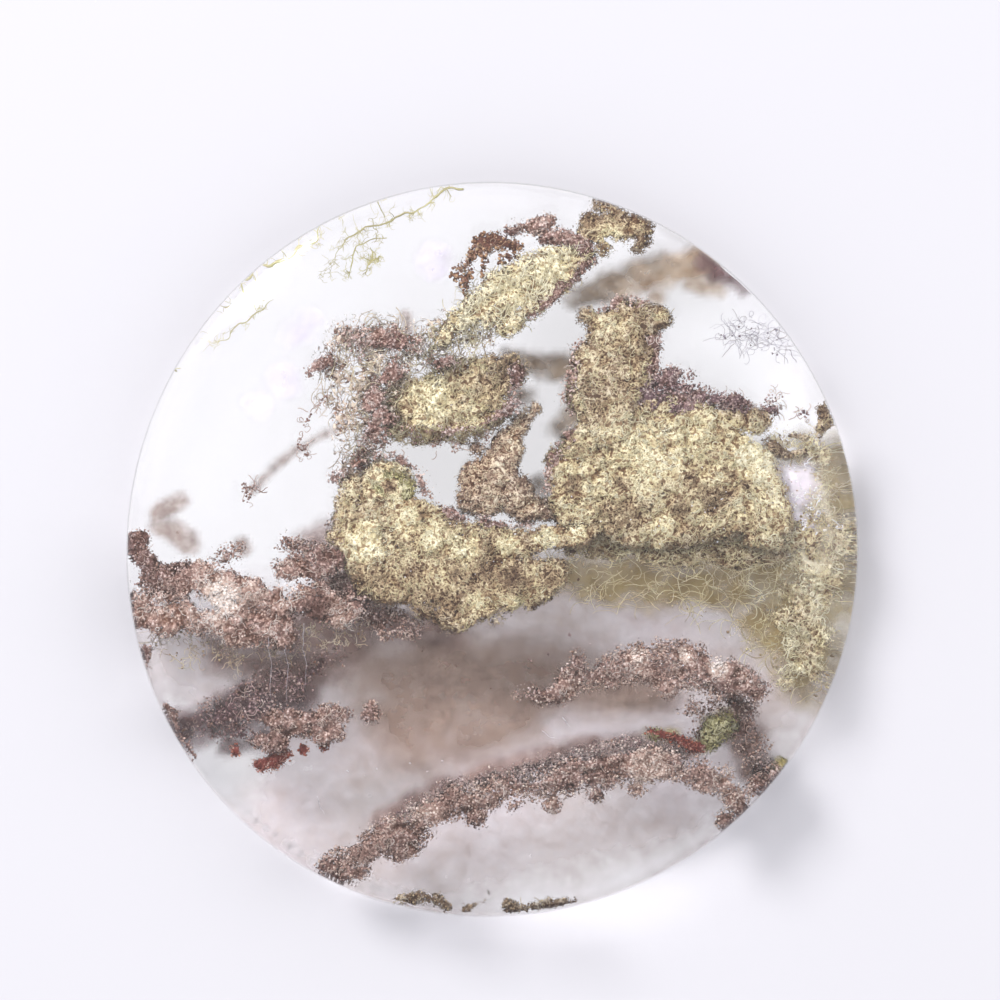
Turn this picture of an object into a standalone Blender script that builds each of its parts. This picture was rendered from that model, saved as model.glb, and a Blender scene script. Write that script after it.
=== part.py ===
"""A moss agate cabochon: one round polished stone with a low dome over a narrow shoulder and a flat back.

The stone lies on its back. +Z is up through the dome, and +Y is the top edge of the stone as it is
shown when it stands on its rim. The moss inside is mineral that grew with the agate, so the stone is
one solid. All sizes are in metres.
"""

import math

import bmesh
import bpy
from mathutils import Matrix, Vector

DIAMETER = 0.0300  # mean width across the widest line, just above the back
THICKNESS = 0.0055  # from the flat back to the top of the dome
BACK_CHAMFER = 0.0003  # the ground edge that keeps the back from chipping
WALL_LEAN_DEG = 5.0  # the wall leans inwards, so that a bezel can hold it
DOME_RADIUS = 0.0450  # radius of the low dome
SHOULDER_RADIUS = 0.0007  # rounding between the wall and the dome

# The stone was ground by hand, so it is a little out of round.
OVAL_SHARE = 0.0030  # half the difference between its long and short widths, as a share of the radius
OVAL_TOWARDS_DEG = 64.0  # direction of the long width
LOBE_SHARE = 0.0030  # a swelling on three sides, as a share of the radius
LOBE_TOWARDS_DEG = 112.0  # direction of one of the three

ROUND_SEGMENTS = 120
DOME_STEPS = 11
SHOULDER_STEPS = 5

AGATE_COLOUR = (0.86, 0.82, 0.81, 1.0)
AGATE_ROUGHNESS = 0.06
AGATE_IOR = 1.54


def arc(centre, radius, start, end, steps):
    """Points on an arc in the profile plane, from the angle start to the angle end, both included."""
    angles = [start + (end - start) * step / steps for step in range(steps + 1)]
    return [centre + radius * Vector((math.cos(a), math.sin(a))) for a in angles]


def shoulder_centre(foot, lean):
    """Centre of the rounding that touches both the leaning wall and the dome.

    It lies SHOULDER_RADIUS inside the wall's line, and as far inside the dome's circle.
    """
    along = Vector((-math.sin(lean), math.cos(lean)))
    inwards = Vector((-math.cos(lean), -math.sin(lean)))
    start = foot + inwards * SHOULDER_RADIUS
    dome_centre = Vector((0.0, THICKNESS - DOME_RADIUS))
    offset = start - dome_centre
    half_b = offset.dot(along)
    reach = DOME_RADIUS - SHOULDER_RADIUS
    distance = -half_b + math.sqrt(half_b**2 - offset.length_squared + reach**2)
    return start + along * distance, dome_centre


def profile():
    """Half of the stone's cross-section, as (distance from the axis, height), from the apex to the back."""
    lean = math.radians(WALL_LEAN_DEG)
    foot = Vector((DIAMETER / 2, BACK_CHAMFER))
    centre, dome_centre = shoulder_centre(foot, lean)
    meets_dome = (centre - dome_centre).normalized()
    dome_end = math.atan2(meets_dome.y, meets_dome.x)
    dome = arc(dome_centre, DOME_RADIUS, math.pi / 2, dome_end, DOME_STEPS)
    shoulder = arc(centre, SHOULDER_RADIUS, dome_end, lean, SHOULDER_STEPS)
    back_edge = Vector((DIAMETER / 2 - BACK_CHAMFER, 0.0))
    return dome + shoulder[1:] + [foot, back_edge]


def out_of_round(angle):
    """Share by which the stone is wider or narrower in this direction."""
    oval = OVAL_SHARE * math.cos(2 * (angle - math.radians(OVAL_TOWARDS_DEG)))
    lobes = LOBE_SHARE * math.cos(3 * (angle - math.radians(LOBE_TOWARDS_DEG)))
    return 1.0 + oval + lobes


def middle(values):
    """Half way between the smallest and the largest of some values."""
    found = list(values)
    return (min(found) + max(found)) / 2


def agate_material():
    """Clear polished agate."""
    material = bpy.data.materials.new("agate")
    material.use_nodes = True
    shader = material.node_tree.nodes["Principled BSDF"]
    shader.inputs["Base Color"].default_value = AGATE_COLOUR
    shader.inputs["Roughness"].default_value = AGATE_ROUGHNESS
    shader.inputs["IOR"].default_value = AGATE_IOR
    shader.inputs["Transmission Weight"].default_value = 1.0
    return material


def cabochon():
    """Turns the profile round the upright axis, makes it a little out of round and closes the back."""
    shape = bmesh.new()
    points = [shape.verts.new((p.x, 0.0, p.y)) for p in profile()]
    edges = [shape.edges.new(pair) for pair in zip(points, points[1:])]
    bmesh.ops.spin(
        shape,
        geom=points + edges,
        cent=(0.0, 0.0, 0.0),
        axis=(0.0, 0.0, 1.0),
        angle=2 * math.pi,
        steps=ROUND_SEGMENTS,
    )
    bmesh.ops.remove_doubles(shape, verts=shape.verts, dist=1e-7)
    bmesh.ops.holes_fill(shape, edges=[e for e in shape.edges if e.is_boundary])
    for vertex in shape.verts:
        share = out_of_round(math.atan2(vertex.co.y, vertex.co.x))
        vertex.co.x *= share
        vertex.co.y *= share
    across = middle(v.co.x for v in shape.verts)
    along = middle(v.co.y for v in shape.verts)
    bmesh.ops.transform(shape, matrix=Matrix.Translation((-across, -along, 0.0)), verts=shape.verts)
    bmesh.ops.recalc_face_normals(shape, faces=shape.faces)

    mesh = bpy.data.meshes.new("cabochon")
    shape.to_mesh(mesh)
    shape.free()
    mesh.materials.append(agate_material())
    mesh.shade_smooth()
    mesh.set_sharp_from_angle(angle=math.radians(30.0))
    stone = bpy.data.objects.new("cabochon", mesh)
    bpy.context.collection.objects.link(stone)
    return stone


def main():
    for old in list(bpy.data.objects):
        bpy.data.objects.remove(old, do_unlink=True)
    cabochon()


main()
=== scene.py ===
"""A moss agate cabochon: a clear, slightly milky polished stone with mineral moss grown through it.

The stone lies on its flat back and the camera looks down on it, as it was photographed face on.
Places on the stone are given in millimetres as they show through the dome: x to the right, y to the
top edge and z up from the back. Meshes are in metres.
"""

import logging
import math
from dataclasses import dataclass, field
from enum import Enum

import bmesh
import bpy
import numpy as np
from mathutils import Matrix, Vector


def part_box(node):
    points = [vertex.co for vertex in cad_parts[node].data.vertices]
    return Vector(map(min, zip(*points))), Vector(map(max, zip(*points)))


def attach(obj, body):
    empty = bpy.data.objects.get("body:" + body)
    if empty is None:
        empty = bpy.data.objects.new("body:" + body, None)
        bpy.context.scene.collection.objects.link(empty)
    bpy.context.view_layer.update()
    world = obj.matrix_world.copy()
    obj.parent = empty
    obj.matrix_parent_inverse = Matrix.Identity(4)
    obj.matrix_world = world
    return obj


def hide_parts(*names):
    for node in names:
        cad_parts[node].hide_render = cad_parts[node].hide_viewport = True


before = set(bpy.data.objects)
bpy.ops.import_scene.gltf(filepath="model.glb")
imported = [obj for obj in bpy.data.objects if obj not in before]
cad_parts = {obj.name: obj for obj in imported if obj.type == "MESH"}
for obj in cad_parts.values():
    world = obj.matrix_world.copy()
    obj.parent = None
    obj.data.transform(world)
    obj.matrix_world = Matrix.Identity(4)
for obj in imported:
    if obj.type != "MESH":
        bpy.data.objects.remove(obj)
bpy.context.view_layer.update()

log = logging.getLogger("moss_agate")

MM = 0.001
BAKE_MAP = "OFBake"  # room for each part of a piece in a flat picture of it
TONE_MAP = "Tones"  # kind of moss across, and shade up
COVER_MAP = "Cover"  # how closed the weave of a mass is
RIM = 14.62  # where moss that reaches the wall ends, in millimetres
HAZE_MOST = 0.86  # a haze never hides all that lies below it
Array = np.ndarray
Random = np.random.Generator
Socket = bpy.types.NodeSocket
Stroke = list[tuple[float, float, float]]  # places across and up, and the half width there
Patch = tuple[float, float, float, float, float]  # place, radius, then the kind and shade of its moss


def linear(colour: tuple[int, int, int], alpha: float = 1.0) -> tuple[float, float, float, float]:
    """Turns a screen colour into a linear one.

    Args:
        colour: Red, green and blue from 0 to 255.
        alpha: The fourth value.

    Returns:
        The linear colour with its alpha.
    """
    channels = [c / 255 for c in colour]
    red, green, blue = [c / 12.92 if c <= 0.04045 else ((c + 0.055) / 1.055) ** 2.4 for c in channels]
    return red, green, blue, alpha


def smooth(share: Array) -> Array:
    """An even, rounded step from 0 to 1."""
    held = np.clip(share, 0.0, 1.0)
    return held * held * (3 - 2 * held)


def chance(column: Array, row: Array, seed: int) -> Array:
    """A repeatable value from 0 to 1 for each whole-number place.

    Args:
        column: Whole numbers across.
        row: Whole numbers up.
        seed: Which set of values.

    Returns:
        One value for each place.
    """
    mixed = (column * 374761393 + row * 668265263 + seed * 974634777) & 0xFFFFFFFF
    mixed = ((mixed ^ (mixed >> 13)) * 1274126177) & 0xFFFFFFFF
    mixed = ((mixed ^ (mixed >> 16)) * 40503) & 0xFFFFFFFF
    return ((mixed ^ (mixed >> 15)) & 0xFFFF) / 65535.0


def clouds(x: Array, y: Array, size: float, seed: int, layers: int = 2) -> Array:
    """Soft random clouds.

    Args:
        x: Places across, in millimetres.
        y: Places up.
        size: Width of the largest clouds.
        seed: Which clouds.
        layers: How many finer layers are added up.

    Returns:
        Values about -1 to 1.
    """
    total = np.zeros_like(x)
    weight = 1.0
    for layer in range(layers):
        turn = 0.7 + 1.9 * layer + 0.37 * (seed % 7)
        across = (x * math.cos(turn) + y * math.sin(turn)) / size + 37.3 * layer
        up = (y * math.cos(turn) - x * math.sin(turn)) / size + 11.7 * layer
        column, row = np.floor(across).astype(np.int64), np.floor(up).astype(np.int64)
        along, rise = smooth(across - column), smooth(up - row)
        low = chance(column, row, seed + layer) * (1 - along) + chance(column + 1, row, seed + layer) * along
        high_left = chance(column, row + 1, seed + layer)
        high = high_left * (1 - along) + chance(column + 1, row + 1, seed + layer) * along
        total += weight * (2 * (low * (1 - rise) + high * rise) - 1)
        size, weight = size / 2, weight * 0.55
    return total


def knobs(x: Array, y: Array, size: float, seed: int) -> Array:
    """Rounded knobs packed side by side, like a cauliflower.

    Args:
        x: Places across, in millimetres.
        y: Places up.
        size: Width of a knob.
        seed: Which set of knobs.

    Returns:
        Height from 0 in the gaps to 1 on the knobs.
    """
    across, up = x / size, y / size
    column, row = np.floor(across).astype(np.int64), np.floor(up).astype(np.int64)
    nearest = np.full_like(across, 9.0)
    for step_x in (-1, 0, 1):
        for step_y in (-1, 0, 1):
            cell_x, cell_y = column + step_x, row + step_y
            knob_x = cell_x + chance(cell_x, cell_y, seed)
            knob_y = cell_y + chance(cell_x, cell_y, seed + 1)
            nearest = np.minimum(nearest, np.hypot(across - knob_x, up - knob_y))
    return np.sqrt(np.clip(1 - nearest * nearest, 0.0, 1.0))


@dataclass(frozen=True)
class StoneForm:
    """The cabochon's outside, from the same sizes as the solid, in millimetres."""

    diameter: float = 30.0
    thickness: float = 5.5
    back_chamfer: float = 0.3
    wall_lean_deg: float = 5.0
    dome_radius: float = 45.0
    shoulder_radius: float = 0.7
    oval_share: float = 0.0030
    oval_towards_deg: float = 64.0
    lobe_share: float = 0.0030
    lobe_towards_deg: float = 112.0
    bends_light: float = 1.54
    moss_margin: float = 0.12  # moss stops this far below the polish
    dome_runs_on: float = 0.22  # how far the dome reaches over the shoulder
    moss_reach: float = 14.5  # largest distance from the axis at which the height of the dome counts
    tilt_reach: float = 14.2  # the same for the tilt of the dome

    def share(self, angle: Array) -> Array:
        """Share by which the stone is wider or narrower in a direction."""
        oval = self.oval_share * np.cos(2 * (angle - math.radians(self.oval_towards_deg)))
        lobes = self.lobe_share * np.cos(3 * (angle - math.radians(self.lobe_towards_deg)))
        return 1.0 + oval + lobes

    def shoulder(self) -> tuple[Array, Array]:
        """Centre of the rounding between wall and dome, and centre of the dome's circle."""
        lean = math.radians(self.wall_lean_deg)
        along = np.array((-math.sin(lean), math.cos(lean)))
        inwards = np.array((-math.cos(lean), -math.sin(lean)))
        start = np.array((self.diameter / 2, self.back_chamfer)) + inwards * self.shoulder_radius
        dome_centre = np.array((0.0, self.thickness - self.dome_radius))
        offset = start - dome_centre
        half = offset @ along
        reach = self.dome_radius - self.shoulder_radius
        distance = -half + math.sqrt(half**2 - offset @ offset + reach**2)
        return start + along * distance, dome_centre

    def profile(self, dome_steps: int, shoulder_steps: int) -> list[tuple[float, float]]:
        """Half of the cross-section, from the top to the back.

        Args:
            dome_steps: Steps over the dome.
            shoulder_steps: Steps round the shoulder.

        Returns:
            Distance from the axis and height of each point.
        """
        centre, dome_centre = self.shoulder()
        towards = centre - dome_centre
        end = math.atan2(towards[1], towards[0])
        lean = math.radians(self.wall_lean_deg)
        points = []
        for angle in np.linspace(math.pi / 2, end, dome_steps + 1):
            points.append(dome_centre + self.dome_radius * np.array((math.cos(angle), math.sin(angle))))
        for angle in np.linspace(end, lean, shoulder_steps + 1)[1:]:
            points.append(centre + self.shoulder_radius * np.array((math.cos(angle), math.sin(angle))))
        points.append(np.array((self.diameter / 2, self.back_chamfer)))
        for share in (1.0, 0.8, 0.6, 0.4, 0.2, 0.0):
            points.append(np.array(((self.diameter / 2 - self.back_chamfer) * share, 0.0)))
        return [(float(p[0]), float(p[1])) for p in points]

    def surface(self, radius: Array) -> Array:
        """Height of the polished surface at a distance from the axis."""
        centre, _ = self.shoulder()
        inner = np.minimum(radius, centre[0] + self.dome_runs_on)
        dome = self.thickness - self.dome_radius + np.sqrt(self.dome_radius**2 - inner**2)
        over = np.clip(radius - centre[0], 0.0, self.shoulder_radius - 0.01)
        rounding = centre[1] + np.sqrt(self.shoulder_radius**2 - over**2)
        return np.where(over > self.dome_runs_on, np.minimum(rounding, dome), dome)

    def wall(self, height: Array) -> Array:
        """Distance of the wall from the axis at a height."""
        centre, _ = self.shoulder()
        lean = math.tan(math.radians(self.wall_lean_deg))
        straight = self.diameter / 2 - (height - self.back_chamfer) * lean
        over = np.clip(height - centre[1], 0.0, self.shoulder_radius - 0.01)
        return np.where(over > 0, centre[0] + np.sqrt(self.shoulder_radius**2 - over**2), straight)

    def settle(self, points: Array) -> Array:
        """Moves points from where they show through the dome to where they lie in the stone.

        Args:
            points: One row of x, y and z for each point, in millimetres.

        Returns:
            The points inside the stone, in millimetres.
        """
        radius = np.hypot(points[:, 0], points[:, 1])
        angle = np.arctan2(points[:, 1], points[:, 0])
        top = self.surface(np.minimum(radius, self.moss_reach)) - self.moss_margin
        height = np.clip(points[:, 2], self.back_chamfer + 0.05, top)
        tilt = np.arcsin(np.minimum(radius, self.tilt_reach) / self.dome_radius)
        bent = np.arcsin(np.sin(tilt) / self.bends_light)
        real = radius - (top - height) * np.tan(tilt - bent)
        limit = (self.wall(height) - self.moss_margin) * self.share(angle)
        real = np.clip(np.minimum(real, limit), 0.0, None)
        return np.column_stack((real * np.cos(angle), real * np.sin(angle), height))


class Wiring:
    """Adds nodes to a shader tree and links them."""

    def __init__(self, tree: bpy.types.ShaderNodeTree) -> None:
        """Starts work on a tree."""
        self.nodes, self.links = tree.nodes, tree.links

    def feed(self, node: bpy.types.ShaderNode, socket: str | int, given: object) -> None:
        """Links an output to a node's input, or sets the input to a value."""
        if isinstance(given, Socket):
            self.links.new(given, node.inputs[socket])
        else:
            node.inputs[socket].default_value = given

    def math(self, operation: str, *given: object) -> Socket:
        """One sum, product or comparison of outputs and numbers."""
        node = self.nodes.new("ShaderNodeMath")
        node.operation = operation
        for index, value in enumerate(given):
            self.feed(node, index, value)
        return node.outputs["Value"]

    def fade(
        self, given: Socket, start: float, end: float, low: float, high: object, kind: str = "SMOOTHSTEP"
    ) -> Socket:
        """Goes from low to high while what is given goes from start to end."""
        node = self.nodes.new("ShaderNodeMapRange")
        node.interpolation_type = kind
        limits = (("From Min", start), ("From Max", end), ("To Min", low), ("To Max", high))
        for socket, value in (("Value", given), *limits):
            self.feed(node, socket, value)
        return node.outputs["Result"]

    def blend(self, share: object, low: object, high: object, kind: str = "MIX") -> Socket:
        """Mixes two colours."""
        node = self.nodes.new("ShaderNodeMix")
        node.data_type = "RGBA"
        node.blend_type = kind
        for socket, value in (("Factor", share), ("A", low), ("B", high)):
            self.feed(node, socket, value)
        return node.outputs["Result"]

    def shift(self, place: Socket, by: tuple[float, float, float]) -> Socket:
        """Moves a place."""
        node = self.nodes.new("ShaderNodeVectorMath")
        self.feed(node, 0, place)
        self.feed(node, 1, by)
        return node.outputs["Vector"]

    def noise(self, place: Socket, scale: float, detail: float = 1.0) -> bpy.types.ShaderNode:
        """Soft cloudy values round 0.5."""
        node = self.nodes.new("ShaderNodeTexNoise")
        self.feed(node, "Vector", place)
        self.feed(node, "Scale", scale)
        self.feed(node, "Detail", detail)
        return node

    def place(self) -> Socket:
        """Where a point of the piece is, in millimetres."""
        where = self.nodes.new("ShaderNodeTexCoord")
        node = self.nodes.new("ShaderNodeVectorMath")
        node.operation = "SCALE"
        self.feed(node, 0, where.outputs["Object"])
        self.feed(node, "Scale", 1 / MM)
        return node.outputs["Vector"]

    def mapped(self, name: str) -> tuple[Socket, Socket]:
        """The two values that a map of the piece holds."""
        where = self.nodes.new("ShaderNodeUVMap")
        where.uv_map = name
        split = self.nodes.new("ShaderNodeSeparateXYZ")
        self.feed(split, "Vector", where.outputs["UV"])
        return split.outputs["X"], split.outputs["Y"]


@dataclass(frozen=True)
class MossFinish:
    """Colours of one kind of moss, from its darkest crystals to its palest threads."""

    name: str
    stops: tuple[tuple[int, int, int], ...]
    # painted shade colour for low shade values, in the dips of the moss; painted highlight colour and its
    # share for high ones, on its crests
    painted_shade_colour: tuple[int, int, int] = (168, 140, 120)
    crest: tuple[int, int, int] = (250, 246, 232)
    painted_highlight_share: float = 0.45
    grain: float = 0.25  # how much of it is grains and not strands
    contrast: float = 0.62
    fineness: float = 1.1

    def materials(self) -> list[bpy.types.Material]:
        """The plain material for loose threads, and the woven one for a mass."""
        return [self.material(False), self.material(True)]

    def material(self, woven: bool) -> bpy.types.Material:
        """The moss material.

        Args:
            woven: Weaves strands and grains over a mass, with open pores. Loose threads are plain.

        Returns:
            The material.
        """
        name = f"{self.name} mass" if woven else self.name
        found = bpy.data.materials.get(name)
        if found:
            return found
        material = bpy.data.materials.new(name)
        material.use_nodes = True
        nodes, links = material.node_tree.nodes, material.node_tree.links
        wiring = Wiring(material.node_tree)
        shader = nodes["Principled BSDF"]
        shader.inputs["Specular IOR Level"].default_value = 0.25
        material.use_transparent_shadow = False
        kind, light = wiring.mapped(TONE_MAP)
        relief = nodes.new("ShaderNodeBump")
        relief.inputs["Strength"].default_value = 0.5
        relief.inputs["Distance"].default_value = 0.03 * MM
        links.new(wiring.noise(wiring.place(), 8.0, 0.0).outputs["Fac"], relief.inputs["Height"])
        links.new(relief.outputs["Normal"], shader.inputs["Normal"])
        if woven:
            weave = nodes.new("ShaderNodeGroup")
            weave.node_tree = NodeGroups.weave()
            weave.inputs["Grain"].default_value = self.grain
            weave.inputs["Fineness"].default_value = self.fineness
            links.new(wiring.place(), weave.inputs["Place"])
            # The weave lifts kind and shade together: pale strands and dark gaps, partly the moss's own
            # colours and partly painted shade.
            away = wiring.math("SUBTRACT", weave.outputs["Weave"], 0.50)
            lift = wiring.math("MULTIPLY", away, self.contrast)
            kind, light = wiring.math("ADD", kind, lift), wiring.math("ADD", light, lift)
            closed = wiring.math("ADD", weave.outputs["Net"], wiring.mapped(COVER_MAP)[0])
            links.new(wiring.fade(closed, 0.83, 1.0, 0.0, 1.0), shader.inputs["Alpha"])
        ramp = nodes.new("ShaderNodeValToRGB")
        ramp.color_ramp.interpolation = "LINEAR"
        stops = ramp.color_ramp.elements
        while len(stops) < len(self.stops):
            stops.new(0.5)
        for index, colour in enumerate(self.stops):
            stops[index].position = index / (len(self.stops) - 1)
            stops[index].color = linear(colour)
        # Painted shade and highlight: the shade group darkens low shade values and pales high ones.
        shade = nodes.new("ShaderNodeGroup")
        shade.node_tree = NodeGroups.shade()
        shade.inputs["Painted Shade"].default_value = linear(self.painted_shade_colour)
        shade.inputs["Painted Highlight"].default_value = linear(self.crest)
        shade.inputs["Painted Highlight Share"].default_value = self.painted_highlight_share
        links.new(kind, ramp.inputs["Fac"])
        links.new(ramp.outputs["Color"], shade.inputs["Color"])
        links.new(light, shade.inputs["Shade"])
        links.new(shade.outputs["Color"], shader.inputs["Base Color"])
        links.new(shade.outputs["Roughness"], shader.inputs["Roughness"])
        return material


@dataclass(frozen=True)
class HazeFinish:
    """A soft milky or smoky growth deep in the stone: see-through, thicker in the middle."""

    name: str
    thin: tuple[int, int, int]
    thick: tuple[int, int, int]
    most: float
    glow: float = 0.25  # painted glow: the haze emits its own tint, standing in for light scattered through it from behind
    mottle: float = 0.5
    mottle_scale: float = 1.6  # clouds in each millimetre

    def material(self) -> bpy.types.Material:
        """The haze material: how well it covers comes from the colour map, as its colour does."""
        material = bpy.data.materials.new(self.name)
        material.use_nodes = True
        shader = material.node_tree.nodes["Principled BSDF"]
        shader.inputs["Roughness"].default_value = 0.9
        shader.inputs["Specular IOR Level"].default_value = 0.0
        wiring = Wiring(material.node_tree)
        cover, light = wiring.mapped(TONE_MAP)
        mottled = wiring.noise(wiring.place(), self.mottle_scale, 2.0).outputs["Fac"]
        away = wiring.math("SUBTRACT", mottled, 0.5)
        thickness = wiring.math("MULTIPLY_ADD", away, 2 * self.mottle, light)
        tint = wiring.blend(thickness, linear(self.thin), linear(self.thick))
        most = wiring.math("MULTIPLY_ADD", away, 2 * self.mottle * self.most, self.most)
        # Painted glow: the haze emits its tint, though it is no lamp.
        shader.inputs["Emission Strength"].default_value = self.glow
        material.cycles.emission_sampling = "NONE"
        wiring.feed(shader, "Base Color", tint)
        wiring.feed(shader, "Emission Color", tint)
        wiring.feed(shader, "Alpha", wiring.math("MINIMUM", wiring.math("MULTIPLY", cover, most), HAZE_MOST))
        return material


class NodeGroups:
    """Shader effects that more than one material uses."""

    @staticmethod
    def blank(name: str, takes: dict[str, str], gives: dict[str, str]) -> bpy.types.ShaderNodeTree:
        """Makes a node group with its sockets.

        Args:
            name: Name of the group.
            takes: Kind of each input by name.
            gives: Kind of each output by name.

        Returns:
            The group, with its input and output nodes.
        """
        tree = bpy.data.node_groups.new(name, "ShaderNodeTree")
        for label, kind in takes.items():
            tree.interface.new_socket(label, in_out="INPUT", socket_type=kind)
        for label, kind in gives.items():
            tree.interface.new_socket(label, in_out="OUTPUT", socket_type=kind)
        tree.nodes.new("NodeGroupInput")
        tree.nodes.new("NodeGroupOutput")
        return tree

    @staticmethod
    def weave() -> bpy.types.ShaderNodeTree:
        """A tangle of curly strands over open pores, with round grains between. Lower strands, grain edges,
        pores and pits come out darker: partly the moss's own colours, partly painted shade.
        """
        found = bpy.data.node_groups.get("moss weave")
        if found:
            return found
        takes = {"Place": "NodeSocketVector", "Fineness": "NodeSocketFloat", "Grain": "NodeSocketFloat"}
        tree = NodeGroups.blank("moss weave", takes, {"Weave": "NodeSocketFloat", "Net": "NodeSocketFloat"})
        wiring = Wiring(tree)
        given = tree.nodes["Group Input"]
        sized = tree.nodes.new("ShaderNodeVectorMath")
        sized.operation = "SCALE"
        wiring.feed(sized, 0, given.outputs["Place"])
        wiring.feed(sized, "Scale", given.outputs["Fineness"])
        place = sized.outputs["Vector"]
        net = 0.0
        # The lower strand layers have less height, so they are painted darker, as shade.
        strands = ((4.6, 0.10, 1.0), (5.8, 0.115, 0.84), (7.4, 0.13, 0.66))  # scale, half width and height
        for layer, (scale, width, height) in enumerate(strands):
            moved = wiring.shift(place, (3.1 * layer, 7.7 * layer, 0.3 * layer))
            level = wiring.noise(moved, scale, 0.0 if layer else 1.0).outputs["Fac"]
            away = wiring.math("ABSOLUTE", wiring.math("SUBTRACT", level, 0.5))
            net = wiring.math("MAXIMUM", wiring.fade(away, 0.0, width, height, 0.0), net)
        cells = tree.nodes.new("ShaderNodeTexVoronoi")
        wiring.feed(cells, "Vector", place)
        wiring.feed(cells, "Scale", 7.0)
        random = tree.nodes.new("ShaderNodeSeparateColor")
        wiring.feed(random, "Color", cells.outputs["Color"])
        size = wiring.math("MULTIPLY_ADD", random.outputs["Red"], 0.5, 0.5)
        # Each grain is paler in its middle and darker at its edge: painted shading of a round grain.
        grain = wiring.math("MULTIPLY", wiring.fade(cells.outputs["Distance"], 0.12, 0.62, 1.0, 0.0), size)
        part = wiring.math("SUBTRACT", 1.0, given.outputs["Grain"])
        mixed = wiring.math("MULTIPLY_ADD", grain, given.outputs["Grain"], wiring.math("MULTIPLY", net, part))
        open_places = wiring.noise(wiring.shift(place, (1.3, 5.1, 0.0)), 2.1).outputs["Fac"]
        # Pores and pits darken the weave: partly brown moss, partly painted shade in the gaps.
        pores = wiring.fade(open_places, 0.52, 0.68, 1.0, 0.55)
        pits = wiring.noise(wiring.shift(place, (8.3, 2.1, 0.0)), 5.6, 0.0).outputs["Fac"]
        dark = wiring.math("MULTIPLY", pores, wiring.fade(pits, 0.60, 0.68, 1.0, 0.0))
        wiring.feed(tree.nodes["Group Output"], "Weave", wiring.math("MULTIPLY", mixed, dark))
        wiring.feed(tree.nodes["Group Output"], "Net", mixed)
        return tree

    @staticmethod
    def shade() -> bpy.types.ShaderNodeTree:
        """Darkens moss where its shade value is low and pales it where it is high: painted shade in its dips
        and painted highlight on its crests.
        """
        found = bpy.data.node_groups.get("moss shade")
        if found:
            return found
        colours = {label: "NodeSocketColor" for label in ("Color", "Painted Shade", "Painted Highlight")}
        takes = colours | {"Shade": "NodeSocketFloat", "Painted Highlight Share": "NodeSocketFloat"}
        gives = {"Color": "NodeSocketColor", "Roughness": "NodeSocketFloat"}
        tree = NodeGroups.blank("moss shade", takes, gives)
        wiring = Wiring(tree)
        given, result = tree.nodes["Group Input"].outputs, tree.nodes["Group Output"]
        shade = given["Shade"]
        dark = wiring.blend(1.0, given["Color"], given["Painted Shade"], "MULTIPLY")
        plain = wiring.blend(wiring.fade(shade, 0.0, 0.5, 0.0, 1.0, "LINEAR"), dark, given["Color"])
        lift = wiring.fade(shade, 0.5, 1.0, 0.0, given["Painted Highlight Share"], "LINEAR")
        wiring.feed(result, "Color", wiring.blend(lift, plain, given["Painted Highlight"]))
        wiring.feed(result, "Roughness", wiring.fade(shade, 0.0, 1.0, 0.9, 0.5, "LINEAR"))
        return tree


class Finish(Enum):
    """The kinds of moss in the stone."""

    OLIVE = MossFinish(
        "olive cream moss",
        ((96, 74, 56), (146, 124, 98), (186, 168, 134), (212, 200, 158), (236, 229, 202)),
    )
    CREAM = MossFinish(
        "cream moss",
        ((100, 76, 64), (152, 128, 110), (192, 172, 148), (218, 204, 174), (240, 233, 214)),
    )
    CRUST = MossFinish(
        "brown pink moss",
        ((100, 70, 64), (150, 120, 112), (188, 161, 150), (216, 197, 186), (244, 236, 232)),
        crest=(250, 246, 250),
        grain=0.66,
    )
    PURPLE = MossFinish(
        "purple brown moss",
        ((98, 74, 80), (148, 122, 124), (186, 164, 158), (210, 192, 188), (232, 222, 232)),
        grain=0.75,
    )
    GREEN = MossFinish(
        "green gold moss",
        ((86, 84, 50), (138, 130, 84), (178, 170, 118), (206, 200, 150), (236, 232, 200)),
    )
    NET = MossFinish(
        "brown net",
        ((104, 76, 66), (150, 122, 108), (186, 160, 144), (214, 196, 176), (240, 230, 216)),
        grain=0.12,
        contrast=0.5,
        fineness=0.62,
    )
    GREY = MossFinish(
        "grey fibres",
        ((128, 122, 138), (164, 158, 174), (192, 188, 202), (216, 212, 226), (244, 244, 252)),
    )
    RED = MossFinish(
        "rust moss",
        ((112, 44, 36), (156, 84, 66), (186, 118, 92), (206, 156, 126), (226, 196, 170)),
        grain=0.8,
    )
    BEAD = MossFinish(
        "brown beads",
        ((104, 66, 54), (146, 108, 84), (184, 150, 118), (208, 182, 148), (234, 220, 194)),
        grain=0.8,
    )
    WHITE = MossFinish(
        "white specks",
        ((190, 186, 198), (214, 210, 222), (232, 230, 240), (244, 243, 250), (255, 255, 255)),
    )


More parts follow.
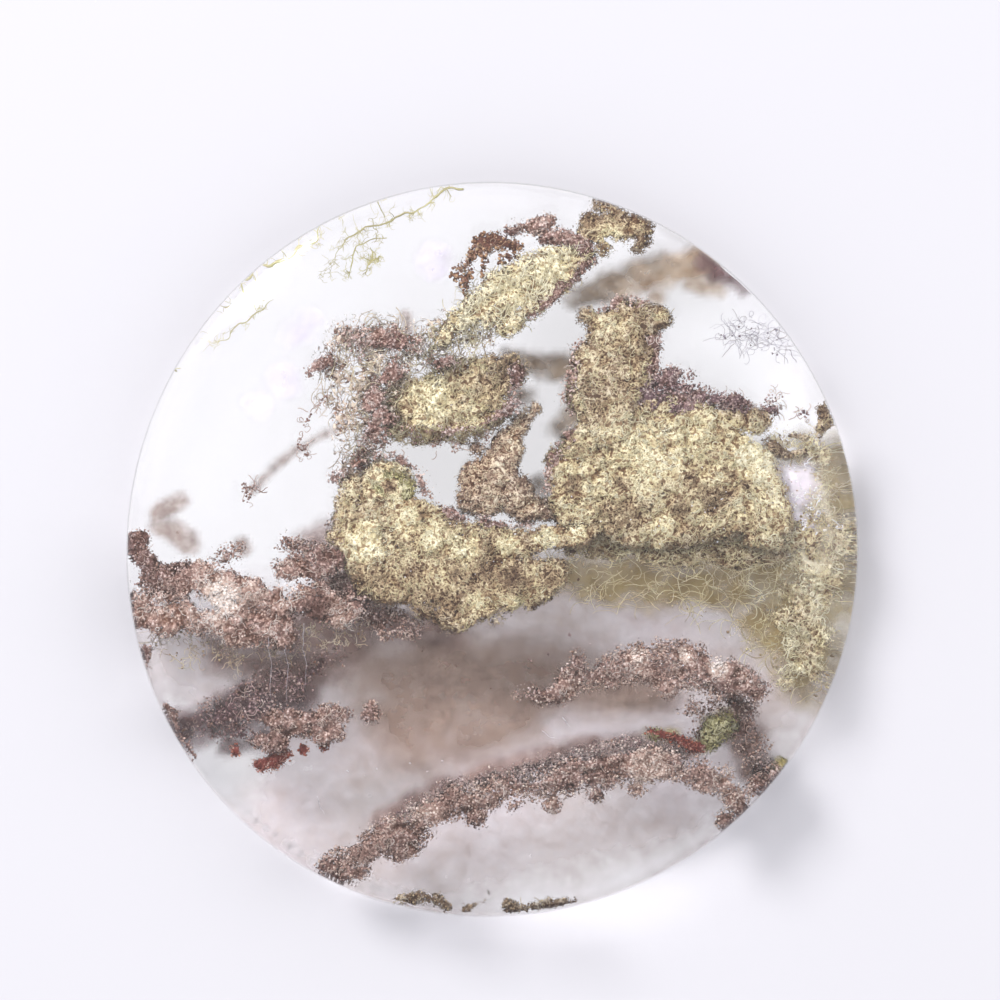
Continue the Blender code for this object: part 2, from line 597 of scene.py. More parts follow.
class Shapes:
    """Gathers triangles with their places on the colour map, and makes one mesh of them."""

    def __init__(self) -> None:
        """Starts empty."""
        self.points: list[Array] = []
        self.faces: list[Array] = []
        self.tones: list[Array] = []
        self.covers: list[Array] = []  # how closed the weave is, below 0 on loose threads and grains
        self.count = 0

    def add(self, points: Array, faces: Array, tones: Array, cover: Array | None = None) -> None:
        """Adds some triangles.

        Args:
            points: One row of x, y and z for each point, in millimetres.
            faces: Three point numbers for each triangle.
            tones: Kind and shade for each point.
            cover: How closed the weave is at each point of a mass. Loose threads and grains have none.
        """
        self.covers.append(np.full(len(points), -1.0) if cover is None else cover)
        self.points.append(points)
        self.faces.append(faces + self.count)
        self.tones.append(tones)
        self.count += len(points)

    def build(self, name: str, materials: list[bpy.types.Material], stone: StoneForm) -> bpy.types.Object:
        """Makes the piece.

        Args:
            name: Name of the piece.
            materials: Its materials: the last is for its mass, the first for what is loose.
            stone: The stone that holds it.

        Returns:
            The piece, linked to the scene.
        """
        points = stone.settle(np.concatenate(self.points)) * MM
        faces = np.concatenate(self.faces)
        tones = np.clip(np.concatenate(self.tones), 0.004, 0.996)
        cover = np.concatenate(self.covers)
        woven = cover > -0.5
        places = self.places(points, tones, woven)
        mesh = bpy.data.meshes.new(name)
        mesh.vertices.add(len(points))
        mesh.vertices.foreach_set("co", points.astype(np.float32).ravel())
        mesh.loops.add(faces.size)
        mesh.loops.foreach_set("vertex_index", faces.astype(np.int32).ravel())
        mesh.polygons.add(len(faces))
        mesh.polygons.foreach_set("loop_start", np.arange(0, faces.size, 3, dtype=np.int32))
        mesh.polygons.foreach_set("use_smooth", np.ones(len(faces), dtype=bool))
        covers = np.column_stack((cover, cover))
        for map_name, values in ((BAKE_MAP, places), (TONE_MAP, tones), (COVER_MAP, covers)):
            layer = mesh.uv_layers.new(name=map_name)
            layer.data.foreach_set("uv", values[faces.ravel()].astype(np.float32).ravel())
        mesh.update()
        mesh.validate()
        if woven.all():
            materials = materials[-1:]
        elif not woven.any():
            materials = materials[:1]
        for material in materials:
            mesh.materials.append(material)
        if len(materials) > 1:
            mesh.polygons.foreach_set("material_index", woven[faces[:, 0]].astype(np.int32))
        piece = bpy.data.objects.new(name, mesh)
        bpy.context.collection.objects.link(piece)
        return piece

    @staticmethod
    def places(points: Array, tones: Array, woven: Array) -> Array:
        """Gives each point its room: masses by where they are, loose threads and grains by their tones.

        Args:
            points: The points.
            tones: Kind and shade of each.
            woven: Which points are part of a mass.

        Returns:
            A place between 0 and 1 each way for each point.
        """
        room = np.empty((len(points), 2))
        for part, values in ((woven, points[:, :2]), (~woven, tones)):
            if part.any():
                low, size = values[part].min(axis=0), np.ptp(values[part], axis=0)
                room[part] = 0.01 + 0.98 * (values[part] - low) / np.maximum(size, 1e-9)
        if woven.any() and not woven.all():
            room[:, 0] = 0.49 * room[:, 0] + np.where(woven, 0.0, 0.51)
        return room


class Field:
    """How far inside a growth each place on a fine grid is, from given strokes."""

    def __init__(self, strokes: list[Stroke], step: float, margin: float) -> None:
        """Lays the strokes on a grid.

        Args:
            strokes: Lines of places with their half widths, in millimetres.
            step: Grid spacing.
            margin: How far the grid goes on round the strokes.
        """
        spots = np.array([spot for stroke in strokes for spot in stroke])
        self.step = step
        self.low = np.floor((spots[:, :2] - spots[:, 2:]).min(axis=0) - margin)
        high = np.ceil((spots[:, :2] + spots[:, 2:]).max(axis=0) + margin)
        across = np.arange(self.low[0], high[0] + step, step)
        up = np.arange(self.low[1], high[1] + step, step)
        self.x, self.y = np.meshgrid(across, up, indexing="ij")
        self.inside = self.measure(strokes, self.x, self.y)

    @staticmethod
    def measure(strokes: list[Stroke], x: Array, y: Array) -> Array:
        """Distance inside the strokes, in millimetres.

        Args:
            strokes: Lines of places with their half widths.
            x: Places across.
            y: Places up.

        Returns:
            The distance inside at each place, negative outside.
        """
        inside = np.full(x.shape, -9.0)
        for stroke in strokes:
            for start, end in zip(stroke, stroke[1:] or stroke):
                ahead, rise = end[0] - start[0], end[1] - start[1]
                length = max(ahead**2 + rise**2, 1e-9)
                along = np.clip(((x - start[0]) * ahead + (y - start[1]) * rise) / length, 0, 1)
                away = np.hypot(x - start[0] - along * ahead, y - start[1] - along * rise)
                inside = np.maximum(inside, start[2] + along * (end[2] - start[2]) - away)
        return inside

    def read(self, grid: Array, x: Array, y: Array) -> Array:
        """Reads a grid's values between its points.

        Args:
            grid: Values on this field's grid.
            x: Places across.
            y: Places up.

        Returns:
            The value at each place.
        """
        across = np.clip((x - self.low[0]) / self.step, 0, grid.shape[0] - 1.001)
        up = np.clip((y - self.low[1]) / self.step, 0, grid.shape[1] - 1.001)
        column, row = across.astype(int), up.astype(int)
        along, rise = across - column, up - row
        low = grid[column, row] * (1 - along) + grid[column + 1, row] * along
        high = grid[column, row + 1] * (1 - along) + grid[column + 1, row + 1] * along
        return low * (1 - rise) + high * rise

    def skin(self, top: Array, bottom: Array, filled: Array) -> tuple[Array, Array, Array]:
        """A closed body between two height grids.

        Args:
            top: Height of its upper side.
            bottom: Height of its lower side, the same as the top where nothing is filled.
            filled: Which grid points the body fills.

        Returns:
            The points, the triangles and the grid place of each point.
        """
        filled = filled & (np.hypot(self.x, self.y) < RIM - 0.02)
        cell = filled[:-1, :-1] | filled[1:, :-1] | filled[:-1, 1:] | filled[1:, 1:]
        number = np.arange(top.size).reshape(top.shape)
        column, row = np.nonzero(cell)
        left, right = number[column, row], number[column + 1, row]
        far_right, far_left = number[column + 1, row + 1], number[column, row + 1]
        halves = (np.column_stack((left, right, far_right)), np.column_stack((left, far_right, far_left)))
        upper = np.concatenate(halves)
        under = upper[:, ::-1].copy()
        open_edge = ~filled.ravel()
        under = np.where(open_edge[under], under, under + top.size)
        faces = np.concatenate((upper, under))
        used, packed = np.unique(faces, return_inverse=True)
        grid = used % top.size
        height = np.where(used < top.size, top.ravel()[grid], bottom.ravel()[grid])
        x, y = self.x.ravel()[grid], self.y.ravel()[grid]
        radius = np.hypot(x, y)
        pull = np.where(open_edge[grid] & (radius > RIM), RIM / np.maximum(radius, 1.0), 1.0)
        points = np.column_stack((x * pull, y * pull, height))
        return points, packed.reshape(faces.shape), grid


ICOSA_T = (1 + 5**0.5) / 2
ICOSA_POINTS = np.array(
    [(-1, ICOSA_T, 0), (1, ICOSA_T, 0), (-1, -ICOSA_T, 0), (1, -ICOSA_T, 0)]
    + [(0, -1, ICOSA_T), (0, 1, ICOSA_T), (0, -1, -ICOSA_T), (0, 1, -ICOSA_T)]
    + [(ICOSA_T, 0, -1), (ICOSA_T, 0, 1), (-ICOSA_T, 0, -1), (-ICOSA_T, 0, 1)]
) / math.hypot(1, ICOSA_T)
ICOSA_FACES = np.array(
    [(0, 11, 5), (0, 5, 1), (0, 1, 7), (0, 7, 10), (0, 10, 11), (1, 5, 9), (5, 11, 4), (11, 10, 2)]
    + [(10, 7, 6), (7, 1, 8), (3, 9, 4), (3, 4, 2), (3, 2, 6), (3, 6, 8), (3, 8, 9), (4, 9, 5)]
    + [(2, 4, 11), (6, 2, 10), (8, 6, 7), (9, 8, 1)]
)
OCTA_POINTS = np.array([(1, 0, 0), (-1, 0, 0), (0, 1, 0), (0, -1, 0), (0, 0, 1), (0, 0, -1)], dtype=float)
OCTA_FACES = np.array(
    [(0, 2, 4), (2, 1, 4), (1, 3, 4), (3, 0, 4), (2, 0, 5), (1, 2, 5), (3, 1, 5), (0, 3, 5)]
)


def grains(
    shapes: Shapes, centres: Array, radii: Array, tones: Array, rng: Random, round_ones: bool
) -> None:
    """Adds small uneven grains.

    Args:
        shapes: What they are added to.
        centres: Middle of each grain, in millimetres.
        radii: Radius of each grain.
        tones: Place of each grain on the colour map.
        rng: Where chance comes from.
        round_ones: Twenty-sided grains instead of eight-sided ones.
    """
    count = len(centres)
    if not count:
        return
    base, base_faces = (ICOSA_POINTS, ICOSA_FACES) if round_ones else (OCTA_POINTS, OCTA_FACES)
    turn = rng.uniform(0, 2 * math.pi, (count, 2))
    cos_a, sin_a = np.cos(turn[:, :1]), np.sin(turn[:, :1])
    cos_b, sin_b = np.cos(turn[:, 1:]), np.sin(turn[:, 1:])
    x, y, z = base.T
    turned_x = cos_a * x - sin_a * y
    turned_y = sin_a * x + cos_a * y
    tipped_y = cos_b * turned_y - sin_b * z
    tipped_z = sin_b * turned_y + cos_b * z
    uneven = rng.uniform(0.72, 1.22, (count, len(base))) * radii[:, None]
    points = np.stack((turned_x * uneven, tipped_y * uneven, tipped_z * uneven), axis=2)
    points += centres[:, None, :]
    spread = tones[:, None, :] + rng.uniform(-0.012, 0.012, (count, len(base), 2))
    # Painted light from above: the upper half of each grain is lighter than its lower half.
    spread[:, :, 1] += 0.10 * tipped_z
    faces = base_faces[None] + (np.arange(count) * len(base))[:, None, None]
    shapes.add(points.reshape(-1, 3), faces.reshape(-1, 3), spread.reshape(-1, 2))


def threads(shapes: Shapes, lines: Array, radii: Array, tones: Array, rng: Random) -> None:
    """Adds thin closed threads with three sides.

    Args:
        shapes: What they are added to.
        lines: The points along each thread: thread, point, then x, y and z.
        radii: Radius at each point of each thread.
        tones: Place on the colour map at each point of each thread.
        rng: Where chance comes from.
    """
    count, steps = lines.shape[:2]
    if not count:
        return
    ahead = np.gradient(lines, axis=1)
    ahead /= np.linalg.norm(ahead, axis=2, keepdims=True) + 1e-9
    side = np.cross(ahead, np.array((0.03, 0.02, 1.0)))
    side /= np.linalg.norm(side, axis=2, keepdims=True) + 1e-9
    up = np.cross(side, ahead)
    rings = []
    spreads = []
    for angle in (math.pi / 2, math.pi * 7 / 6, math.pi * 11 / 6):
        rings.append(lines + radii[:, :, None] * (math.cos(angle) * side + math.sin(angle) * up))
        shift = rng.uniform(-0.01, 0.01, (count, steps, 2))
        # Painted light from above: the upper side of each thread is a little lighter, its lower sides darker.
        shift[:, :, 1] += 0.05 * math.sin(angle)
        spreads.append(tones + shift)
    points = np.stack(rings, axis=2)
    spread = np.stack(spreads, axis=2)
    number = np.arange(count * steps * 3).reshape(count, steps, 3)
    faces = []
    for first, second in ((0, 1), (1, 2), (2, 0)):
        near_a, near_b = number[:, :-1, first], number[:, :-1, second]
        far_a, far_b = number[:, 1:, first], number[:, 1:, second]
        faces.append(np.stack((near_a, near_b, far_b), axis=2).reshape(-1, 3))
        faces.append(np.stack((near_a, far_b, far_a), axis=2).reshape(-1, 3))
    faces.append(number[:, 0, ::-1])
    faces.append(number[:, -1, :])
    shapes.add(points.reshape(-1, 3), np.concatenate(faces), spread.reshape(-1, 2))


@dataclass
class Growth:
    """One growth of moss: a lumpy mass, the curly threads over it and the grains on it."""

    name: str
    finish: Finish
    strokes: list[Stroke]
    seed: int
    depth: float = 0.9  # from the dome down to the middle of the mass
    thick: float = 1.0  # thickness of the mass, 0 where it is an open net
    step: float = 0.08
    pores: float = 0.7  # how much of it is open brown holes
    ragged: float = 0.28
    buds: float = 0.16  # small round buds along its edge
    lace: float = 0.55  # how far in its edge is open
    solid: float = 1.0  # how closed its middle is
    airy: float = 0.0  # how much its middle opens in places
    knob: float = 0.5
    relief: float = 0.30
    core: float = 0.72  # place of its middle on the colours
    rim: float = 0.38  # place of its edge
    rim_width: float = 0.7
    light: float = 0.5
    thread_count: float = 22.0  # in each square millimetre
    thread_tone: float = 0.15
    thread_radius: float = 0.018
    thread_step: float = 0.06
    thread_points: int = 9
    curl: float = 0.55
    flow: float | None = None
    grain_count: float = 10.0
    grain_size: tuple[float, float] = (0.028, 0.06)
    grain_tone: tuple[float, float] = (0.15, 0.75)
    rim_grains: float = 30.0
    rim_size: tuple[float, float] = (0.028, 0.065)
    outside: float = 0.20  # how far threads and grains reach past the edge
    openings: Stroke = field(default_factory=list)
    patches: list[Patch] = field(default_factory=list)

    def build(self, stone: StoneForm) -> bpy.types.Object:
        """Grows the moss.

        Args:
            stone: The stone that holds it.

        Returns:
            The piece.
        """
        rng = np.random.default_rng(self.seed)
        shapes = Shapes()
        area = Field(self.strokes, self.step, 1.2)
        wander = clouds(area.x, area.y, 0.95, self.seed, 3)
        buds = knobs(area.x, area.y, 0.42, self.seed + 12) - 0.62
        area.inside += (self.ragged * wander + self.buds * buds) * smooth(1.0 + area.inside / 0.8)
        area.inside += 0.45 * self.lace - 0.08
        for x, y, radius in self.openings:
            away = np.hypot(area.x - x, area.y - y) + 0.25 * clouds(area.x, area.y, 0.5, self.seed + 5)
            area.inside = np.minimum(area.inside, away - radius)
        self.heights(area, stone)
        if self.thick > 0:
            self.mass(shapes, area)
        self.grow_threads(shapes, area, rng)
        self.grow_grains(shapes, area, rng)
        return shapes.build(self.name, self.finish.value.materials(), stone)

    def heights(self, area: Field, stone: StoneForm) -> None:
        """Works out the upper and lower side of the mass on the grid."""
        big = knobs(area.x, area.y, self.knob * 1.7, self.seed + 20)
        small = knobs(area.x, area.y, self.knob * 0.75, self.seed + 30)
        fine = clouds(area.x, area.y, 0.24, self.seed + 40, 1) + 0.5 * self.grit(area)
        holes = clouds(area.x, area.y, 0.40, self.seed + 42, 2)
        self.holes = self.pores * smooth((holes - 0.12) / 0.45)
        strands = 1 - smooth(np.abs(clouds(area.x, area.y, 0.26, self.seed + 43, 1)) / 0.4)
        # The bumps give the mass its relief and are also its painted shade: lighter on the knobs, darker in
        # the dips and holes.
        self.bumps = 0.38 * big + 0.32 * small + 0.10 * fine + 0.16 * strands - 0.50 * self.holes
        swell = clouds(area.x, area.y, 2.2, self.seed + 45)
        middle = stone.surface(np.hypot(area.x, area.y)) - self.depth + 0.12 * swell
        edge = np.clip(area.inside / 0.9, 0.02, 1.0)
        rounding = np.sqrt(1 - (1 - edge) ** 2)
        half = 0.5 * max(self.thick, 0.02)
        self.top = middle + rounding * (0.45 * half + self.relief * self.bumps + 0.25 * half)
        lumps = knobs(area.x, area.y, self.knob * 1.3, self.seed + 50)
        taper = smooth(area.inside / 1.3)
        self.bottom = middle - rounding * half * (0.15 + 0.5 * taper + 0.35 * taper * lumps)

    def grit(self, area: Field) -> Array:
        """A rough value for each grid point, from -1 to 1."""
        column, row = np.rint(area.x / area.step), np.rint(area.y / area.step)
        return 2 * chance(column.astype(np.int64), row.astype(np.int64), self.seed + 3) - 1

    def tone(self, x: Array, y: Array, inside: Array) -> Array:
        """Place on the colours at some points of the mass."""
        share = smooth(inside / self.rim_width)
        return self.rim + (self.core - self.rim) * share + 0.20 * clouds(x, y, 1.1, self.seed + 60)

    def patched(self, x: Array, y: Array, tones: Array) -> Array:
        """Shifts the colours inside the growth's patches."""
        for at_x, at_y, radius, kind, shade in self.patches:
            away = np.hypot(x - at_x, y - at_y) / radius
            share = smooth(1.35 - away + 0.3 * clouds(x, y, 0.4, self.seed + 70))
            tones[:, 0] += 0.85 * share * (kind - tones[:, 0])
            tones[:, 1] += 0.60 * share * (shade - tones[:, 1])
        return tones

    def mass(self, shapes: Shapes, area: Field) -> None:
        """Adds the lumpy mass."""
        filled = area.inside > 0
        points, faces, grid = area.skin(self.top, self.bottom, filled)
        x, y = points[:, 0], points[:, 1]
        kind = self.tone(x, y, area.inside.ravel()[grid]) - 0.14
        bumps = self.bumps.ravel()[grid]
        # Painted shade and highlight: shade follows the relief, lighter on the knobs and darker in the dips
        # and pores.
        shade = self.light - 0.36 + 0.72 * bumps + 0.06 * clouds(x, y, 0.3, self.seed + 80)
        inside = area.inside.ravel()[grid]
        cover = self.solid * smooth(0.16 + inside / self.lace)
        cover -= self.airy * smooth(0.5 + 1.1 * clouds(x, y, 0.7, self.seed + 90))
        cover = np.clip(cover, 0.0, 1.0)
        shapes.add(points, faces, self.patched(x, y, np.column_stack((kind, shade))), cover)

    def scatter(self, area: Field, density: float, low: float, high: float, rng: Random) -> Array:
        """Picks random places where the growth is between two distances inside its edge.

        Args:
            area: The growth's field.
            density: Places in each square millimetre.
            low: Least distance inside.
            high: Most distance inside.
            rng: Where chance comes from.

        Returns:
            The places, one row each.
        """
        size = np.array((area.x.max() - area.x.min(), area.y.max() - area.y.min()))
        count = int(size[0] * size[1] * density)
        spots = area.low + rng.uniform(0, 1, (count, 2)) * size
        inside = area.read(area.inside, spots[:, 0], spots[:, 1])
        return spots[(inside > low) & (inside < high)]

    def grow_threads(self, shapes: Shapes, area: Field, rng: Random) -> None:
        """Adds the curly threads over and under the mass."""
        starts = self.scatter(area, self.thread_count, 0.5 * self.lace if self.thick > 0 else 0.1, 9.0, rng)
        thinned = area.read(self.holes, starts[:, 0], starts[:, 1])
        starts = starts[thinned < rng.uniform(0.1, 0.75, len(starts))]
        count = len(starts)
        if not count:
            return
        heading = rng.uniform(0, 2 * math.pi, count)
        if self.flow is not None:
            away = rng.choice((0.0, math.pi), count)
            heading = math.radians(self.flow) + away + rng.normal(0, 0.35, count)
        bend = rng.normal(0, self.curl, count)
        lift = rng.uniform(0.0, 0.16, count)
        below = rng.uniform(0, 1, count) < 0.16
        x, y = starts[:, 0].copy(), starts[:, 1].copy()
        line = []
        for _ in range(self.thread_points):
            top = area.read(self.top, x, y)
            bottom = area.read(self.bottom, x, y)
            lift = lift + rng.normal(0, 0.02, count)
            height = np.where(below, bottom - lift * 0.6, top + lift)
            line.append(np.column_stack((x, y, height)))
            turn = bend + rng.normal(0, 0.12 + 0.5 * self.curl, count)
            heading = heading + turn
            x = x + self.thread_step * np.cos(heading)
            y = y + self.thread_step * np.sin(heading)
        lines = np.stack(line, axis=1)
        flat = lines.reshape(-1, 3)
        inside = area.read(area.inside, flat[:, 0], flat[:, 1])
        kind = self.tone(flat[:, 0], flat[:, 1], inside) + self.thread_tone
        kind += np.repeat(rng.normal(0, 0.09, count), self.thread_points)
        bumps = area.read(self.bumps, flat[:, 0], flat[:, 1])
        # Painted shade: threads are darker over the dips of the mass under them and lighter over its knobs.
        shade = self.light - 0.10 + 0.30 * bumps + np.repeat(rng.normal(0, 0.13, count), self.thread_points)
        tones = self.patched(flat[:, 0], flat[:, 1], np.column_stack((kind, shade)))
        tones = tones.reshape(count, self.thread_points, 2)
        taper = np.ones(self.thread_points)
        taper[0] = taper[-1] = 0.45
        radii = self.thread_radius * rng.uniform(0.65, 1.3, count)[:, None] * taper[None]
        threads(shapes, lines, radii, tones, rng)

    def grow_grains(self, shapes: Shapes, area: Field, rng: Random) -> None:
        """Adds grains: many at the edge, some over the mass."""
        for density, low, high, size, round_ones in (
            (self.rim_grains, 0.45 * self.lace - 0.4 * self.outside, 0.9 * self.lace, self.rim_size, True),
            (self.grain_count, 0.2, 9.0, self.grain_size, False),
        ):
            spots = self.scatter(area, density, low, high, rng)
            count = len(spots)
            if not count:
                continue
            x, y = spots[:, 0], spots[:, 1]
            radii = rng.uniform(size[0], size[1], count)
            top, bottom = area.read(self.top, x, y), area.read(self.bottom, x, y)
            where = rng.uniform(0, 1, count)
            height = np.where(where < 0.75, top + 0.3 * radii + 0.05 * where, bottom)
            kind = rng.uniform(self.grain_tone[0], self.grain_tone[1], count)
            shade = self.light - 0.12 + rng.normal(0, 0.16, count)
            tones = self.patched(x, y, np.column_stack((kind, shade)))
            grains(shapes, np.column_stack((x, y, height)), radii, tones, rng, round_ones)


@dataclass
class Haze:
    """A soft growth or milkiness deep in the stone."""

    name: str
    finish: HazeFinish
    strokes: list[Stroke]
    height: float
    seed: int
    soft: float = 0.6
    mottle: float = 0.18
    mottle_size: float = 0.6
    thick: float = 0.12
    step: float = 0.15
    follow: float = 0.0  # how much it follows the dome
    slot: str = "moss"

    def build(self, stone: StoneForm) -> bpy.types.Object:
        """Makes the haze as a thin closed body that fades out at its edge."""
        area = Field(self.strokes, self.step, self.soft + 0.4)
        wobble = clouds(area.x, area.y, self.mottle_size * 1.6, self.seed, 3)
        cover = smooth((area.inside + self.soft * (0.75 + 0.35 * wobble)) / (1.5 * self.soft))
        mottled = 1 + self.mottle * clouds(area.x, area.y, self.mottle_size, self.seed + 7, 3)
        cover = np.clip(cover * np.clip(mottled, 0.25, 1.3), 0.0, 1.0)
        filled = cover > 0.012
        dome = stone.surface(np.hypot(area.x, area.y)) - stone.thickness
        middle = self.height + self.follow * dome + 0.1 * wobble
        half = self.thick / 2 * np.clip(cover, 0.05, 1)
        points, faces, grid = area.skin(middle + half, middle - half, filled)
        shade = 0.5 + 0.42 * clouds(points[:, 0], points[:, 1], self.mottle_size * 1.3, self.seed + 9, 2)
        known = np.where(filled, cover, 0.0).ravel()[grid]
        shapes = Shapes()
        shapes.add(points, faces, np.column_stack((known, shade)), np.ones(len(points)))
        piece = shapes.build(self.name, [self.finish.material()], stone)
        piece.visible_shadow = False
        piece.visible_diffuse = False
        return piece


@dataclass
class Sprig:
    """Thin lines just below the polish: branching twigs of green-gold moss, or scratches."""

    name: str
    finish: Finish
    paths: list[Stroke]
    seed: int
    depth: float = 0.7
    twigs: float = 6.0  # side twigs in each millimetre
    twig_length: float = 0.38
    hairs: int = 2

    def build(self, stone: StoneForm) -> bpy.types.Object:
        """Draws the twigs and what grows from them."""
        rng = np.random.default_rng(self.seed)
        shapes = Shapes()
        for path in self.paths:
            line, radii = self.curve(np.array(path), rng, 0.09)
            self.tube(shapes, line, radii, stone, rng, 0.45)
            length = np.linalg.norm(np.diff(line, axis=0), axis=1).sum()
            for _ in range(int(length * self.twigs)):
                root = rng.integers(0, len(line) - 1)
                self.twig(shapes, line[root], radii[root], stone, rng, self.hairs)
        return shapes.build(self.name, self.finish.value.materials(), stone)

    def curve(self, path: Array, rng: Random, spacing: float) -> tuple[Array, Array]:
        """Rounds a given path and makes it wander a little.

        Args:
            path: Places with their half widths.
            rng: Where chance comes from.
            spacing: Distance between the new points.

        Returns:
            The new points and the radius at each.
        """
        lengths = np.concatenate(([0.0], np.cumsum(np.hypot(*np.diff(path[:, :2], axis=0).T))))
        count = max(int(lengths[-1] / spacing), 4)
        at = np.linspace(0, lengths[-1], count)
        x, y, radii = (np.interp(at, lengths, path[:, k]) for k in range(3))
        x = x + 0.10 * clouds(at, at * 0 + self.seed, 0.5, self.seed + 1)
        y = y + 0.10 * clouds(at, at * 0 + self.seed, 0.5, self.seed + 2)
        return np.column_stack((x, y)), radii * rng.uniform(0.8, 1.25, count)

    def tube(
        self, shapes: Shapes, line: Array, radii: Array, stone: StoneForm, rng: Random, kind: float
    ) -> None:
        """Adds one twig with a tapering end."""
        height = stone.surface(np.hypot(line[:, 0], line[:, 1])) - self.depth
        height = height + 0.2 * clouds(line[:, 0], line[:, 1], 1.3, self.seed + 4)
        lines = np.column_stack((line, height))[None]
        width = np.minimum(np.linspace(2.2, 0.35, len(line)), 1.0) * radii * 0.6
        tones = np.empty((1, len(line), 2))
        drift = clouds(line[:, 0], line[:, 1], 0.8, self.seed + 5)
        tones[:, :, 0] = kind + rng.normal(0, 0.12) + 0.15 * drift
        tones[:, :, 1] = 0.45 + rng.normal(0, 0.08)
        threads(shapes, lines, width[None], tones, rng)

    def twig(
        self, shapes: Shapes, root: Array, radius: float, stone: StoneForm, rng: Random, more: int
    ) -> None:
        """Adds a side twig, and smaller ones from it."""
        heading = rng.uniform(0, 2 * math.pi)
        bend = rng.normal(0, 0.25)
        length = self.twig_length * rng.uniform(0.4, 1.3)
        count = max(int(length / 0.07), 4)
        line = [root]
        for _ in range(count - 1):
            heading += bend + rng.normal(0, 0.22)
            line.append(line[-1] + 0.07 * np.array((math.cos(heading), math.sin(heading))))
        points = np.array(line)
        thin = max(min(radius * 0.5, 0.03), 0.013)
        self.tube(shapes, points, np.full(count, thin), stone, rng, 0.6)
        for _ in range(more):
            self.twig(shapes, points[rng.integers(1, count)], thin, stone, rng, more - 1)


@dataclass
class ClearStone:
    """The polished, faintly milky agate itself."""

    form: StoneForm
    round_segments: int = 288
    dome_steps: int = 36
    shoulder_steps: int = 12
    inset: float = 0.9994

    def build(self) -> bpy.types.Object:
        """Turns the profile round the axis, as the solid is made, and dresses it."""
        shape = bmesh.new()
        profile = self.form.profile(self.dome_steps, self.shoulder_steps)
        points = [shape.verts.new((x * MM, 0.0, z * MM)) for x, z in profile]
        edges = [shape.edges.new(pair) for pair in zip(points, points[1:])]
        bmesh.ops.spin(
            shape,
            geom=points + edges,
            cent=(0.0, 0.0, 0.0),
            axis=(0.0, 0.0, 1.0),
            angle=2 * math.pi,
            steps=self.round_segments,
        )
        bmesh.ops.remove_doubles(shape, verts=shape.verts, dist=1e-7)
        for vertex in shape.verts:
            share = float(self.form.share(math.atan2(vertex.co.y, vertex.co.x)))
            vertex.co.x *= share
            vertex.co.y *= share
        low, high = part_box("cabochon")
        low, high = Vector(low), Vector(high)
        xs, ys = [v.co.x for v in shape.verts], [v.co.y for v in shape.verts]
        middle = Vector(((min(xs) + max(xs)) / 2, (min(ys) + max(ys)) / 2, 0.0))
        target = Vector(((low.x + high.x) / 2, (low.y + high.y) / 2, 0.0))
        place = Matrix.Translation(target) @ Matrix.Diagonal((self.inset, self.inset, self.inset, 1.0))
        bmesh.ops.transform(shape, matrix=place @ Matrix.Translation(-middle), verts=shape.verts)
        bmesh.ops.recalc_face_normals(shape, faces=shape.faces)
        mesh = bpy.data.meshes.new("clear_stone")
        shape.to_mesh(mesh)
        shape.free()
        mesh.shade_smooth()
        mesh.set_sharp_from_angle(angle=math.radians(30.0))
        mesh.materials.append(self.material())
        stone = bpy.data.objects.new("clear_stone", mesh)
        bpy.context.collection.objects.link(stone)
        return stone

    def material(self) -> bpy.types.Material:
        """Clear agate: it lets light straight through to the moss and takes a faint warm tint in depth."""
        material = bpy.data.materials.new("clear agate")
        material.use_nodes = True
        nodes, links = material.node_tree.nodes, material.node_tree.links
        shader = nodes["Principled BSDF"]
        result = nodes["Material Output"]
        shader.inputs["Base Color"].default_value = (1.0, 1.0, 1.0, 1.0)
        shader.inputs["IOR"].default_value = self.form.bends_light
        shader.inputs["Transmission Weight"].default_value = 1.0
        wiring = Wiring(material.node_tree)
        smears = wiring.noise(nodes.new("ShaderNodeTexCoord").outputs["Object"], 240.0, 4.0)
        gloss = wiring.fade(smears.outputs["Fac"], 0.35, 0.75, 0.03, 0.08, "LINEAR")
        wiring.feed(shader, "Roughness", gloss)
        light = nodes.new("ShaderNodeLightPath")
        clear = nodes.new("ShaderNodeBsdfTransparent")
        clear.inputs["Color"].default_value = (0.965, 0.962, 0.970, 1.0)
        pick = nodes.new("ShaderNodeMixShader")
        links.new(light.outputs["Is Shadow Ray"], pick.inputs["Fac"])
        links.new(shader.outputs["BSDF"], pick.inputs[1])
        links.new(clear.outputs["BSDF"], pick.inputs[2])
        links.new(pick.outputs["Shader"], result.inputs["Surface"])
        tint = nodes.new("ShaderNodeVolumeAbsorption")
        tint.inputs["Color"].default_value = (0.86, 0.82, 0.80, 1.0)
        tint.inputs["Density"].default_value = 12.0
        links.new(tint.outputs["Volume"], result.inputs["Volume"])
        return material


